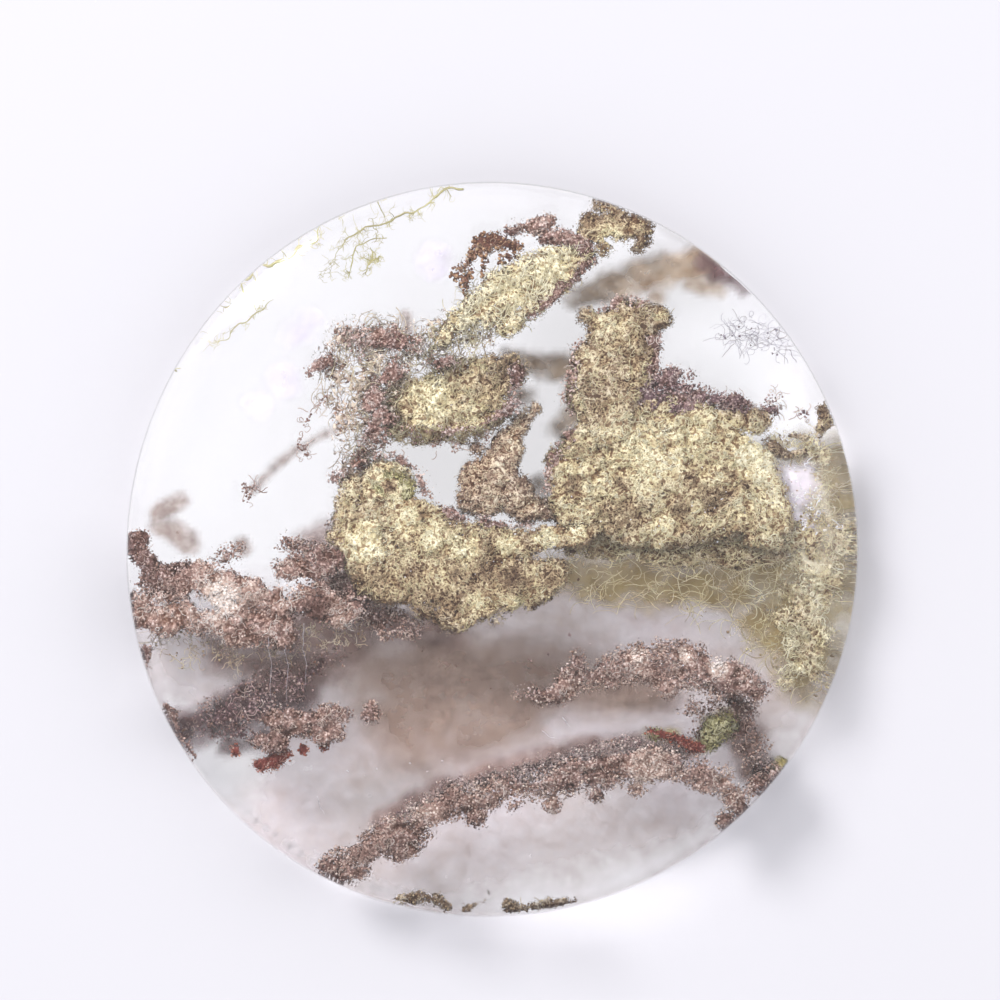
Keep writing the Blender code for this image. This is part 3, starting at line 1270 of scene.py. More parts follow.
@dataclass
class Studio:
    """A pale table that glows below the stone as a painted backlight, soft light from the upper left and a
    camera straight above the stone.
    """

    pixels_per_mm: float = 24.48
    image_size: float = 1000.0
    outline_x: float = 492.4
    outline_y: float = 549.3
    lens: float = 200.0
    sensor: float = 36.0
    floor_z: float = -0.00003  # just clear of the polished back

    def build(self) -> None:
        """Makes the floor, the lights and the camera."""
        self.floor()
        self.world()
        self.lamps()
        self.camera()

    def floor(self) -> None:
        """A pale table top, plain with a faint even glow away from the stone; below the stone it glows much
        more, a painted backlight, and its own colour is darker there.
        """
        mesh = bpy.data.meshes.new("table_top")
        half = 0.6
        corners = ((-half, -half), (half, -half), (half, half), (-half, half))
        mesh.from_pydata([(x, y, self.floor_z) for x, y in corners], [], [(0, 1, 2, 3)])
        material = bpy.data.materials.new("pale table")
        material.use_nodes = True
        shader = material.node_tree.nodes["Principled BSDF"]
        wiring = Wiring(material.node_tree)
        reach = wiring.nodes.new("ShaderNodeVectorMath")
        reach.operation = "LENGTH"
        wiring.feed(reach, 0, wiring.place())
        # Painted backlight: below the stone the table glows and its colour darkens, so light seems to come
        # through the stone from behind.
        under = wiring.fade(reach.outputs["Value"], 12.6, 15.4, 1.0, 0.0)
        for socket, open_table, below_stone in (
            ("Base Color", (0.485, 0.475, 0.50, 1.0), (0.14, 0.14, 0.15, 1.0)),
            ("Emission Color", (0.11, 0.112, 0.13, 1.0), (0.70, 0.695, 0.72, 1.0)),
        ):
            wiring.feed(shader, socket, wiring.blend(under, open_table, below_stone))
        shader.inputs["Emission Strength"].default_value = 1.0
        shader.inputs["Roughness"].default_value = 0.8
        shader.inputs["Specular IOR Level"].default_value = 0.2
        mesh.materials.append(material)
        floor = bpy.data.objects.new("table_top", mesh)
        bpy.context.collection.objects.link(floor)

    def world(self) -> None:
        """Even white light from all round."""
        world = bpy.data.worlds.new("white room")
        world.use_nodes = True
        nodes, links = world.node_tree.nodes, world.node_tree.links
        sky = nodes["Background"]
        where = nodes.new("ShaderNodeTexCoord")
        split = nodes.new("ShaderNodeSeparateXYZ")
        rise = nodes.new("ShaderNodeValToRGB")
        stops = rise.color_ramp.elements
        stops[0].position, stops[0].color = 0.0, (0.50, 0.48, 0.56, 1.0)
        stops[1].position, stops[1].color = 0.45, (0.985, 0.985, 1.0, 1.0)
        links.new(where.outputs["Generated"], split.inputs["Vector"])
        links.new(split.outputs["Z"], rise.inputs["Fac"])
        links.new(rise.outputs["Color"], sky.inputs["Color"])
        sky.inputs["Strength"].default_value = 1.0
        world.cycles.sampling_method = "NONE"
        bpy.context.scene.world = world

    def lamps(self) -> None:
        """One broad lamp at the upper left and a weaker one opposite."""
        for name, at, size, power in (
            ("key_lamp", Vector((-0.22, 0.24, 0.26)), 0.16, 1.7),
            ("fill_lamp", Vector((0.30, 0.05, 0.22)), 0.30, 0.4),
        ):
            data = bpy.data.lights.new(name, "AREA")
            data.shape = "DISK"
            data.size = size
            data.energy = power
            data.cycles.use_multiple_importance_sampling = False
            lamp = bpy.data.objects.new(name, data)
            lamp.location = at
            lamp.rotation_euler = (-at).to_track_quat("-Z", "Y").to_euler()
            bpy.context.collection.objects.link(lamp)

    def camera(self) -> None:
        """A long lens straight above, with the stone where the photograph has it."""
        data = bpy.data.cameras.new("camera")
        data.lens = self.lens
        data.sensor_width = self.sensor
        width = self.image_size / self.pixels_per_mm * MM
        data.shift_x = (self.image_size / 2 - self.outline_x) / self.image_size
        data.shift_y = (self.outline_y - self.image_size / 2) / self.image_size
        data.clip_end = 5.0
        camera = bpy.data.objects.new("camera", data)
        camera.location = (0.0, 0.0, self.lens / self.sensor * width + 0.3 * MM)
        bpy.context.collection.objects.link(camera)
        bpy.context.scene.camera = camera


def render_settings() -> None:
    """Sets how light is followed and how colours are shown."""
    scene = bpy.context.scene
    scene.view_settings.view_transform = "Standard"
    cycles = scene.cycles
    cycles.max_bounces = 7
    cycles.diffuse_bounces = 2
    cycles.glossy_bounces = 2
    cycles.transmission_bounces = 6
    cycles.transparent_max_bounces = 14
    cycles.caustics_refractive = True
    cycles.caustics_reflective = False


def right_growths() -> list[Growth]:
    """The large mat at the right, with its mushroom head and dark crest."""
    return [
        Growth("moss_right_mat", Finish.OLIVE, [
            [(3.4, 3.2, 1.2), (4.8, 2.8, 2.5), (6.9, 2.8, 2.7), (8.5, 2.9, 2.4), (9.9, 2.3, 1.9),
             (11.0, 1.2, 1.2)],
            [(4.4, 5.0, 0.8), (6.4, 5.4, 0.7), (9.0, 5.2, 0.7), (11.0, 5.2, 0.3)],
        ], seed=11, depth=0.85, thick=1.5, light=0.42, lace=0.6, airy=0.12, step=0.085,
           patches=[(7.5, 1.6, 0.45, 0.25, 0.28), (8.9, 2.0, 0.8, 0.22, 0.32),
                    (9.6, 3.2, 0.4, 0.12, 0.20), (10.1, 2.6, 0.35, 0.15, 0.22),
                    # The palest patch, at 10.5 across and 3.7 up, is partly the moss's pale core and partly
                    # painted reflection of a lamp on the dome.
                    (7.9, 2.75, 0.35, 0.25, 0.28), (10.5, 3.7, 1.0, 0.95, 0.72),
                    (3.3, 3.9, 0.6, 0.50, 0.42), (5.0, 1.4, 0.9, 0.30, 0.34), (3.2, 2.6, 0.5, 0.30, 0.36),
                    (5.9, 3.6, 1.2, 0.80, 0.52), (7.9, 4.3, 0.9, 0.78, 0.52), (5.2, 2.6, 0.4, 0.25, 0.30)]),
        Growth("moss_right_band", Finish.OLIVE, [
            [(3.4, 0.6, 0.7), (5.4, 0.3, 0.9), (7.7, 0.2, 0.9), (9.6, 0.4, 0.9), (11.6, 0.3, 0.9),
             (13.0, 0.6, 0.8)],
        ], seed=12, depth=1.25, thick=0.7, ragged=0.4, core=0.60, rim=0.5, light=0.42, thread_count=33,
           grain_count=18, flow=5, curl=0.35, lace=0.7, airy=0.3),
        Growth("moss_head", Finish.OLIVE, [
            [(3.9, 9.3, 0.35), (5.0, 8.8, 1.05), (5.6, 8.9, 0.95), (6.7, 9.35, 0.35)],
            [(5.1, 8.0, 1.35), (4.8, 7.1, 1.5), (4.5, 6.2, 1.35), (4.5, 5.0, 1.1)],
        ], seed=13, depth=0.75, thick=1.3, core=0.58, rim=0.28, light=0.43, grain_count=27,
           patches=[(6.8, 9.4, 0.35, 0.66, 0.46), (6.7, 8.9, 0.22, 0.05, 0.20),
                    (3.7, 9.6, 0.25, 0.20, 0.40), (6.1, 8.3, 0.5, 0.25, 0.40)]),
        Growth("moss_crest", Finish.PURPLE, [
            [(5.0, 6.1, 0.5), (5.9, 6.4, 0.6), (7.0, 6.4, 0.75), (8.2, 6.1, 0.6), (9.4, 5.8, 0.4),
             (10.6, 5.6, 0.2), (11.4, 5.6, 0.1)],
            [(7.2, 7.0, 0.3), (7.9, 6.9, 0.25)],
            [(5.6, 5.9, 0.4), (7.5, 5.8, 0.4), (9.4, 5.7, 0.3)],
        ], seed=14, depth=0.85, thick=1.1, core=0.42, rim=0.4, light=0.4, thread_count=12,
           thread_tone=0.10, grain_count=37, grain_tone=(0.1, 0.75), rim_grains=40, knob=0.35,
           thread_radius=0.012, lace=0.6, airy=0.25),
        Growth("moss_right_edge", Finish.OLIVE, [
            [(11.6, 4.2, 0.3), (12.6, 4.1, 0.3), (13.4, 3.4, 0.5), (13.2, 2.2, 0.4)],
            [(12.2, 0.6, 0.6), (13.3, 0.6, 0.8), (13.2, -0.6, 0.9), (12.8, -1.8, 0.9), (12.4, -3.2, 1.0),
             (12.5, -4.7, 0.8)],
        ], seed=16, depth=1.3, thick=0.5, step=0.09, ragged=0.5, core=0.74, rim=0.62, lace=1.6, solid=0.8,
           airy=0.4, thread_count=14, thread_points=14, curl=0.3, rim_grains=6),
        Growth("moss_right_strings", Finish.OLIVE, [
            [(2.8, -0.9, 0.5), (6.0, -1.0, 0.8), (9.3, -1.1, 0.8), (12.2, -1.4, 1.0)],
            [(4.0, -2.0, 0.4), (6.2, -1.8, 0.5), (9.0, -2.4, 0.5), (12.0, -3.4, 1.1), (12.7, -4.8, 0.9)],
            [(13.3, -1.5, 0.7), (13.5, 0.8, 0.6), (13.4, 3.0, 0.5)],
        ], seed=15, depth=1.1, thick=0.0, ragged=0.5, core=0.5, rim=0.46, thread_count=14,
           thread_points=19, thread_radius=0.013, curl=0.10, flow=-3, grain_count=5, rim_grains=3,
           light=0.48),
    ]


def middle_growths() -> list[Growth]:
    """The bent column, the long arc, the spire and the soft plume in the middle of the stone."""
    return [
        Growth("moss_column", Finish.OLIVE, [
            [(-4.3, 2.5, 1.0), (-4.7, 1.2, 1.1), (-4.8, 0.0, 1.15)],
            [(-5.6, 2.6, 0.4), (-5.6, 1.4, 0.5), (-5.9, 0.4, 0.5)],
        ], seed=21, depth=0.85, thick=1.3, core=0.76, rim=0.42, grain_count=16, light=0.47, lace=0.6,
           patches=[(-4.0, 2.5, 0.75, 0.82, 0.60), (-4.05, 2.5, 0.35, 0.0, 0.10),
                    (-4.9, 0.4, 0.8, 0.85, 0.62)]),
        Growth("moss_arc", Finish.OLIVE, [
            [(-4.0, 1.4, 0.8), (-3.0, 0.7, 1.0), (-1.3, 0.1, 0.9), (0.3, 0.1, 0.7), (1.9, 0.35, 0.5),
             (3.4, 0.55, 0.28), (4.1, 0.75, 0.15)],
            [(-4.4, -0.8, 1.1), (-2.5, -1.2, 1.25), (-0.5, -1.5, 1.15), (0.7, -1.5, 1.0), (2.3, -1.0, 0.6)],
            [(-2.8, -2.5, 0.45), (-1.6, -2.8, 0.3), (0.2, -2.4, 0.4)],
        ], seed=22, depth=0.7, thick=1.3, core=0.55, rim=0.34, light=0.33, knob=0.42, relief=0.36,
           grain_count=27, lace=0.7, airy=0.15,
           patches=[(-3.5, 1.2, 0.7, 0.90, 0.60), (-2.4, 0.6, 0.7, 0.88, 0.60),
                    (-1.1, 0.2, 0.6, 0.86, 0.56), (0.5, 0.2, 0.5, 0.84, 0.54),
                    (2.2, 0.5, 0.5, 0.92, 0.60), (3.4, 0.6, 0.4, 0.92, 0.60),
                    (-4.7, -1.0, 0.6, 0.35, 0.30), (-2.2, -2.0, 0.6, 0.30, 0.28),
                    (-0.2, -0.9, 0.45, 0.20, 0.22), (0.9, -1.2, 0.6, 0.15, 0.16),
                    (-1.5, -0.9, 0.4, 0.25, 0.24), (2.3, -1.2, 0.5, 0.35, 0.30),
                    (-3.1, -0.8, 0.4, 0.25, 0.26), (-0.6, -2.1, 0.35, 0.85, 0.58),
                    (0.9, -2.2, 0.35, 0.80, 0.55)]),
        Growth("moss_spire", Finish.CREAM, [
            [(1.7, 5.6, 0.2), (1.1, 4.8, 0.42), (0.5, 3.7, 0.75), (-0.1, 2.9, 0.95), (-0.4, 2.1, 0.9)],
            [(0.9, 2.2, 0.7), (1.3, 1.6, 0.6), (2.4, 1.5, 0.45)],
            [(-0.6, 4.0, 0.35)],
        ], seed=23, depth=1.2, thick=1.1, core=0.56, rim=0.3, light=0.41, knob=0.36, thread_count=12,
           grain_count=35, grain_tone=(0.2, 0.8), thread_radius=0.012, lace=0.6),
        Growth("moss_soft_plume", Finish.OLIVE, [
            [(-3.4, 5.8, 0.8), (-2.7, 5.9, 1.15), (-1.3, 6.2, 1.3), (-0.1, 6.6, 1.0), (0.7, 7.0, 0.65)],
            [(-3.6, 5.0, 0.5), (-2.1, 4.8, 0.45), (-0.7, 5.0, 0.5), (0.3, 5.7, 0.5)],
        ], seed=24, depth=1.5, core=0.66, rim=0.36, light=0.38, thread_count=23, grain_count=12, lace=1.0,
           airy=0.2, rim_grains=14,
           patches=[(0.7, 7.0, 0.8, 0.20, 0.35), (-0.1, 5.9, 0.6, 0.40, 0.40),
                    (-2.4, 6.2, 0.9, 0.82, 0.62)]),
        Growth("moss_green_ring", Finish.GREEN, [
            [(-4.6, 2.6, 0.2), (-4.3, 2.95, 0.24), (-3.8, 2.9, 0.24), (-3.4, 2.5, 0.26),
             (-3.6, 2.0, 0.24), (-4.2, 2.1, 0.2), (-4.6, 2.6, 0.2)],
        ], seed=28, depth=0.34, thick=0.3, ragged=0.14, lace=0.4, solid=0.85, core=0.5, rim=0.40,
           light=0.44, thread_count=25, rim_grains=12, grain_count=14),
        Growth("moss_pink_rims", Finish.CRUST, [
            [(3.9, 9.5, 0.15), (5.0, 9.8, 0.28), (6.0, 9.7, 0.28), (6.4, 9.0, 0.32), (6.4, 8.1, 0.3),
             (6.3, 7.2, 0.25)],
            [(3.4, 8.2, 0.15), (3.2, 7.2, 0.25), (3.0, 6.2, 0.25), (3.2, 5.4, 0.2)],
            [(-6.2, 2.9, 0.22), (-5.3, 3.5, 0.2), (-4.0, 3.75, 0.16), (-3.1, 3.2, 0.16),
             (-2.6, 2.2, 0.22), (-1.5, 1.3, 0.22), (0.1, 1.0, 0.18), (1.6, 1.0, 0.12)],
            [(1.0, 7.2, 0.32), (1.0, 6.5, 0.3), (0.6, 5.6, 0.25), (-0.5, 4.9, 0.15), (-2.0, 4.7, 0.12),
             (-3.6, 4.8, 0.2)],
            [(2.2, 2.2, 0.25), (2.5, 3.6, 0.25), (3.2, 4.7, 0.25)],
            [(-6.0, 0.2, 0.25), (-6.2, 1.4, 0.2)],
        ], seed=27, depth=0.62, thick=0.5, ragged=0.2, lace=0.6, solid=0.9, airy=0.35, core=0.46,
           rim=0.46, knob=0.34, thread_count=8, rim_grains=20, grain_count=21, grain_tone=(0.1, 0.7)),
        Growth("moss_hanging_beads", Finish.CRUST, [
            [(-3.0, 4.4, 0.16)], [(-2.3, 4.2, 0.14)], [(-1.5, 4.1, 0.14)], [(1.1, 2.2, 0.2)],
            [(-0.2, 4.6, 0.15)],
        ], seed=25, depth=1.0, thick=0.0, ragged=0.1, core=0.2, thread_count=26, grain_count=48,
           rim_grains=50),
    ]


def net_growths() -> list[Growth]:
    """The open brown nets at the upper left, and the plume that climbs to the top edge."""
    return [
        Growth("moss_net_clumps", Finish.CRUST, [
            [(-5.9, 8.5, 0.35), (-5.0, 8.5, 0.5), (-4.0, 8.4, 0.5), (-3.1, 8.2, 0.4)],
            [(-5.2, 7.7, 0.40)],
            [(-3.9, 7.5, 0.45), (-4.6, 6.6, 0.25), (-4.9, 6.0, 0.25)],
            [(-6.6, 7.6, 0.2), (-7.2, 7.2, 0.15)],
            [(-4.3, 5.2, 0.3), (-4.7, 4.4, 0.45), (-5.2, 3.7, 0.45)],
            [(-2.6, 7.4, 0.3), (-1.6, 7.7, 0.3)],
        ], seed=31, thick=0.55, ragged=0.34, core=0.46, rim=0.3, knob=0.3, thread_count=26,
           thread_tone=0.12, rim_grains=12, grain_count=8, outside=0.4, thread_radius=0.012, light=0.47,
           lace=0.7, solid=0.95, airy=0.35),
        Growth("moss_net_web", Finish.NET, [
            [(-5.6, 8.3, 0.7), (-4.4, 8.2, 0.8), (-3.2, 7.9, 0.7), (-2.0, 8.3, 0.7), (-0.8, 8.9, 0.7)],
            [(-4.6, 7.2, 0.9), (-4.9, 6.2, 0.9), (-5.2, 5.2, 0.8), (-5.0, 4.2, 0.8), (-5.4, 3.3, 0.5)],
            [(-6.3, 7.4, 0.4), (-6.4, 6.4, 0.3)],
        ], seed=39, depth=1.1, thick=0.3, step=0.09, ragged=0.6, core=0.5, rim=0.42, light=0.52, lace=1.2,
           solid=0.42, airy=0.25, thread_count=5, rim_grains=3, grain_count=5),
        Growth("moss_net_threads", Finish.CREAM, [
            [(-5.0, 8.0, 0.9), (-4.9, 6.6, 1.1), (-5.3, 5.2, 0.9), (-5.1, 3.9, 0.8), (-5.4, 2.8, 0.5)],
            [(-3.4, 7.8, 0.8), (-2.1, 8.3, 0.7), (-0.6, 8.9, 0.7)],
            [(-6.6, 6.0, 0.4), (-6.0, 6.8, 0.4)],
        ], seed=32, depth=1.0, thick=0.0, ragged=0.5, core=0.46, rim=0.34, light=0.44, thread_count=18,
           thread_radius=0.017, thread_points=18, curl=0.14, grain_count=3, rim_grains=3, outside=0.4,
           flow=58),
        Growth("moss_top_plume", Finish.OLIVE, [
            [(3.4, 11.8, 0.5), (2.35, 11.2, 0.85), (1.2, 10.6, 0.9), (0.2, 10.1, 0.85), (-0.8, 9.4, 0.55),
             (-1.7, 8.6, 0.3)],
            [(0.7, 9.1, 0.4), (1.5, 9.6, 0.35)],
        ], seed=33, depth=0.8, thick=0.75, core=0.8, rim=0.6, grain_tone=(0.05, 0.4), thread_points=14,
           lace=1.0, airy=0.15, flow=52, curl=0.25, thread_count=26,
           patches=[(2.3, 11.2, 0.7, 0.84, 0.60), (0.8, 10.4, 0.7, 0.80, 0.62)]),
        Growth("moss_top_tail", Finish.OLIVE, [
            [(-0.4, 10.4, 0.5), (-0.9, 9.5, 0.5), (-1.6, 8.8, 0.45), (-2.5, 8.1, 0.3)],
            [(-0.3, 9.2, 0.5), (-1.2, 8.2, 0.4)],
        ], seed=34, thick=0.0, rim=0.62, thread_count=38, thread_points=15, thread_radius=0.014,
           curl=0.25, flow=52, rim_grains=5, grain_count=4),
        Growth("moss_top_crust", Finish.CRUST, [
            [(2.3, 12.5, 0.3), (3.0, 12.5, 0.42), (3.6, 12.3, 0.4), (3.9, 11.7, 0.28), (3.3, 10.9, 0.28),
             (2.5, 10.0, 0.25), (1.6, 9.4, 0.22)],
            [(2.1, 13.2, 0.3), (0.9, 12.9, 0.2)],
        ], seed=35, depth=0.75, thick=0.8, core=0.45, rim=0.28, knob=0.34, thread_count=12,
           grain_count=32, rim_grains=36, grain_tone=(0.1, 0.7), thread_radius=0.012, light=0.46,
           lace=0.6, solid=0.9),
        Growth("moss_top_right", Finish.OLIVE, [
            [(4.0, 13.0, 0.5), (5.0, 13.0, 0.75), (5.8, 13.1, 0.5)],
            [(4.4, 13.8, 0.28), (5.4, 13.6, 0.32), (6.1, 13.2, 0.25)],
            [(5.9, 12.3, 0.3)],
            [(4.6, 12.3, 0.3)],
        ], seed=36, depth=0.7, thick=0.9, core=0.5, rim=0.14, knob=0.4, thread_count=12, grain_count=24,
           rim_grains=36, grain_tone=(0.1, 0.7), thread_radius=0.012, lace=0.6, light=0.36, airy=0.1,
           patches=[(4.7, 12.7, 0.6, 0.78, 0.55)]),
        Growth("moss_beaded_arc", Finish.BEAD, [
            [(0.9, 12.2, 0.26), (0.1, 12.4, 0.32), (-0.5, 12.2, 0.26), (-0.9, 11.6, 0.18),
             (-1.5, 11.0, 0.12)],
            [(0.9, 11.8, 0.16), (0.5, 11.8, 0.14), (0.3, 11.5, 0.1)],
            [(-0.8, 11.3, 0.14), (-1.1, 10.75, 0.14), (-1.0, 10.3, 0.1)],
            [(-0.2, 12.0, 0.12), (-0.4, 11.3, 0.12), (-0.4, 10.8, 0.1)],
        ], seed=37, depth=0.8, thick=0.35, ragged=0.14, core=0.30, rim=0.12, knob=0.3, thread_count=41,
           grain_count=32, rim_grains=70, rim_size=(0.03, 0.085), grain_tone=(0.02, 0.6), lace=0.45,
           outside=0.3, airy=0.1, light=0.44),
        Growth("moss_drops", Finish.CRUST, [
            [(-6.7, 6.1, 0.07), (-7.1, 5.6, 0.10), (-7.4, 5.2, 0.09), (-7.7, 4.7, 0.07)],
            [(-7.6, 4.2, 0.22)],
            [(-7.5, 3.8, 0.1)],
            [(-9.9, 2.5, 0.26), (-9.5, 2.4, 0.18), (-9.9, 2.0, 0.18)],
        ], seed=38, thick=0.0, ragged=0.06, core=0.2, thread_count=33, thread_tone=0.05, grain_count=56,
           rim_grains=90, grain_tone=(0.05, 0.35), outside=0.10),
    ]


def left_growths() -> list[Growth]:
    """The long band at the left and the small crusts below it."""
    return [
        Growth("moss_left_rim", Finish.CRUST, [
            [(-14.2, 0.3, 0.5), (-14.0, -0.2, 0.5), (-13.6, -1.0, 0.65), (-12.6, -1.1, 0.65)],
            [(-13.2, -6.6, 0.35), (-12.7, -7.4, 0.42), (-12.2, -8.3, 0.3)],
            [(-14.1, -4.3, 0.3), (-13.9, -4.8, 0.2)],
        ], seed=41, depth=0.7, core=0.42, rim=0.22, knob=0.38, light=0.46, thread_count=12,
           grain_count=32, rim_grains=60, grain_tone=(0.05, 0.5), thread_radius=0.012, lace=0.6),
        Growth("moss_left_band", Finish.CRUST, [
            [(-12.9, -1.5, 0.65), (-11.5, -1.3, 0.8), (-10.5, -1.8, 0.95), (-9.3, -2.3, 0.85),
             (-7.9, -2.2, 0.75), (-6.6, -2.1, 0.75), (-5.6, -2.4, 0.6)],
            [(-13.9, -1.9, 0.5), (-12.6, -1.9, 0.5)],
            [(-14.1, -2.8, 0.6), (-12.4, -2.7, 0.8), (-10.3, -3.2, 0.75), (-8.4, -3.2, 0.7)],
            [(-8.3, -0.9, 0.4), (-7.2, -0.6, 0.45), (-6.2, -0.4, 0.5)],
        ], seed=42, depth=0.75, thick=1.1, ragged=0.36, core=0.62, rim=0.42, light=0.44, thread_count=26,
           grain_count=24, thread_radius=0.012, airy=0.25, lace=0.8, rim_grains=24, thread_tone=0.24,
           patches=[(-10.8, -1.9, 0.75, 0.95, 0.80), (-12.7, -1.2, 0.8, 0.35, 0.45),
                    (-7.0, -2.3, 0.8, 0.12, 0.22), (-9.4, -2.2, 0.5, 0.45, 0.36)]),
        Growth("moss_left_tails", Finish.CREAM, [
            [(-13.4, -3.7, 0.5), (-12.4, -3.9, 0.5), (-12.4, -4.4, 0.3)],
            [(-11.2, -3.9, 0.45), (-10.3, -4.4, 0.4), (-10.2, -4.9, 0.25)],
            [(-9.3, -3.9, 0.4), (-8.0, -3.9, 0.35), (-6.8, -3.4, 0.4), (-5.6, -3.4, 0.4)],
            [(-14.2, -3.5, 0.3)],
        ], seed=43, depth=1.0, thick=0.0, core=0.4, rim=0.45, light=0.44, thread_count=28,
           thread_points=10, thread_radius=0.013, rim_grains=8, grain_count=8),
        Growth("moss_left_brown", Finish.CRUST, [
            [(-8.3, 0.2, 0.3), (-7.0, -0.1, 0.45), (-6.2, 0.3, 0.35)],
            [(-10.8, -0.2, 0.22), (-10.1, 0.0, 0.18)],
            [(-6.6, 1.0, 0.2), (-5.9, 1.6, 0.2)],
            [(-6.3, -0.8, 0.8), (-5.4, -1.9, 0.9), (-4.4, -2.7, 0.7), (-3.4, -3.0, 0.5)],
        ], seed=44, depth=1.3, thick=0.6, core=0.40, rim=0.25, light=0.42, knob=0.36, thread_count=12,
           grain_count=24, rim_grains=60, thread_radius=0.012, lace=0.9, solid=0.75, airy=0.3),
        Growth("moss_left_crust", Finish.CRUST, [
            [(-9.1, -6.8, 0.4), (-7.9, -7.05, 0.55), (-6.8, -6.8, 0.55), (-6.0, -6.5, 0.42)],
            [(-8.5, -7.7, 0.42), (-9.4, -7.6, 0.3)],
            [(-4.9, -6.6, 0.38)],
            [(-6.2, -7.3, 0.25), (-6.9, -7.5, 0.25)],
        ], seed=45, depth=0.8, thick=0.8, core=0.50, rim=0.28, light=0.46, knob=0.36, thread_count=12,
           grain_count=40, grain_tone=(0.1, 0.7), thread_radius=0.012, lace=0.7, airy=0.2),
        Growth("moss_lower_left", Finish.PURPLE, [
            [(-12.4, -7.0, 0.4), (-10.9, -6.6, 0.6), (-9.7, -6.1, 0.7), (-8.4, -5.5, 0.65),
             (-7.5, -5.0, 0.5), (-6.6, -4.3, 0.4)],
            [(-11.0, -7.5, 0.3), (-10.0, -7.3, 0.3)],
        ], seed=47, depth=1.7, thick=0.6, step=0.10, ragged=0.5, core=0.24, rim=0.34, light=0.30,
           lace=1.2, solid=0.8, airy=0.35, knob=0.4, thread_count=10, grain_count=16, rim_grains=20),
        Growth("moss_rust_spots", Finish.RED, [
            [(-10.35, -8.1, 0.28)],
            [(-9.5, -8.7, 0.26), (-8.9, -8.6, 0.36), (-8.3, -8.3, 0.32)],
            [(-7.6, -8.1, 0.24)],
            [(-6.8, -7.95, 0.2)],
            [(-12.1, -8.8, 0.12)],
            [(6.3, -7.3, 0.16), (7.2, -7.5, 0.2), (7.8, -7.8, 0.3), (8.3, -8.0, 0.2)],
        ], seed=46, thick=0.3, ragged=0.1, core=0.3, rim=0.10, knob=0.3, thread_count=16, grain_count=24,
           rim_grains=50, grain_tone=(0.0, 0.5), lace=0.3),
    ]


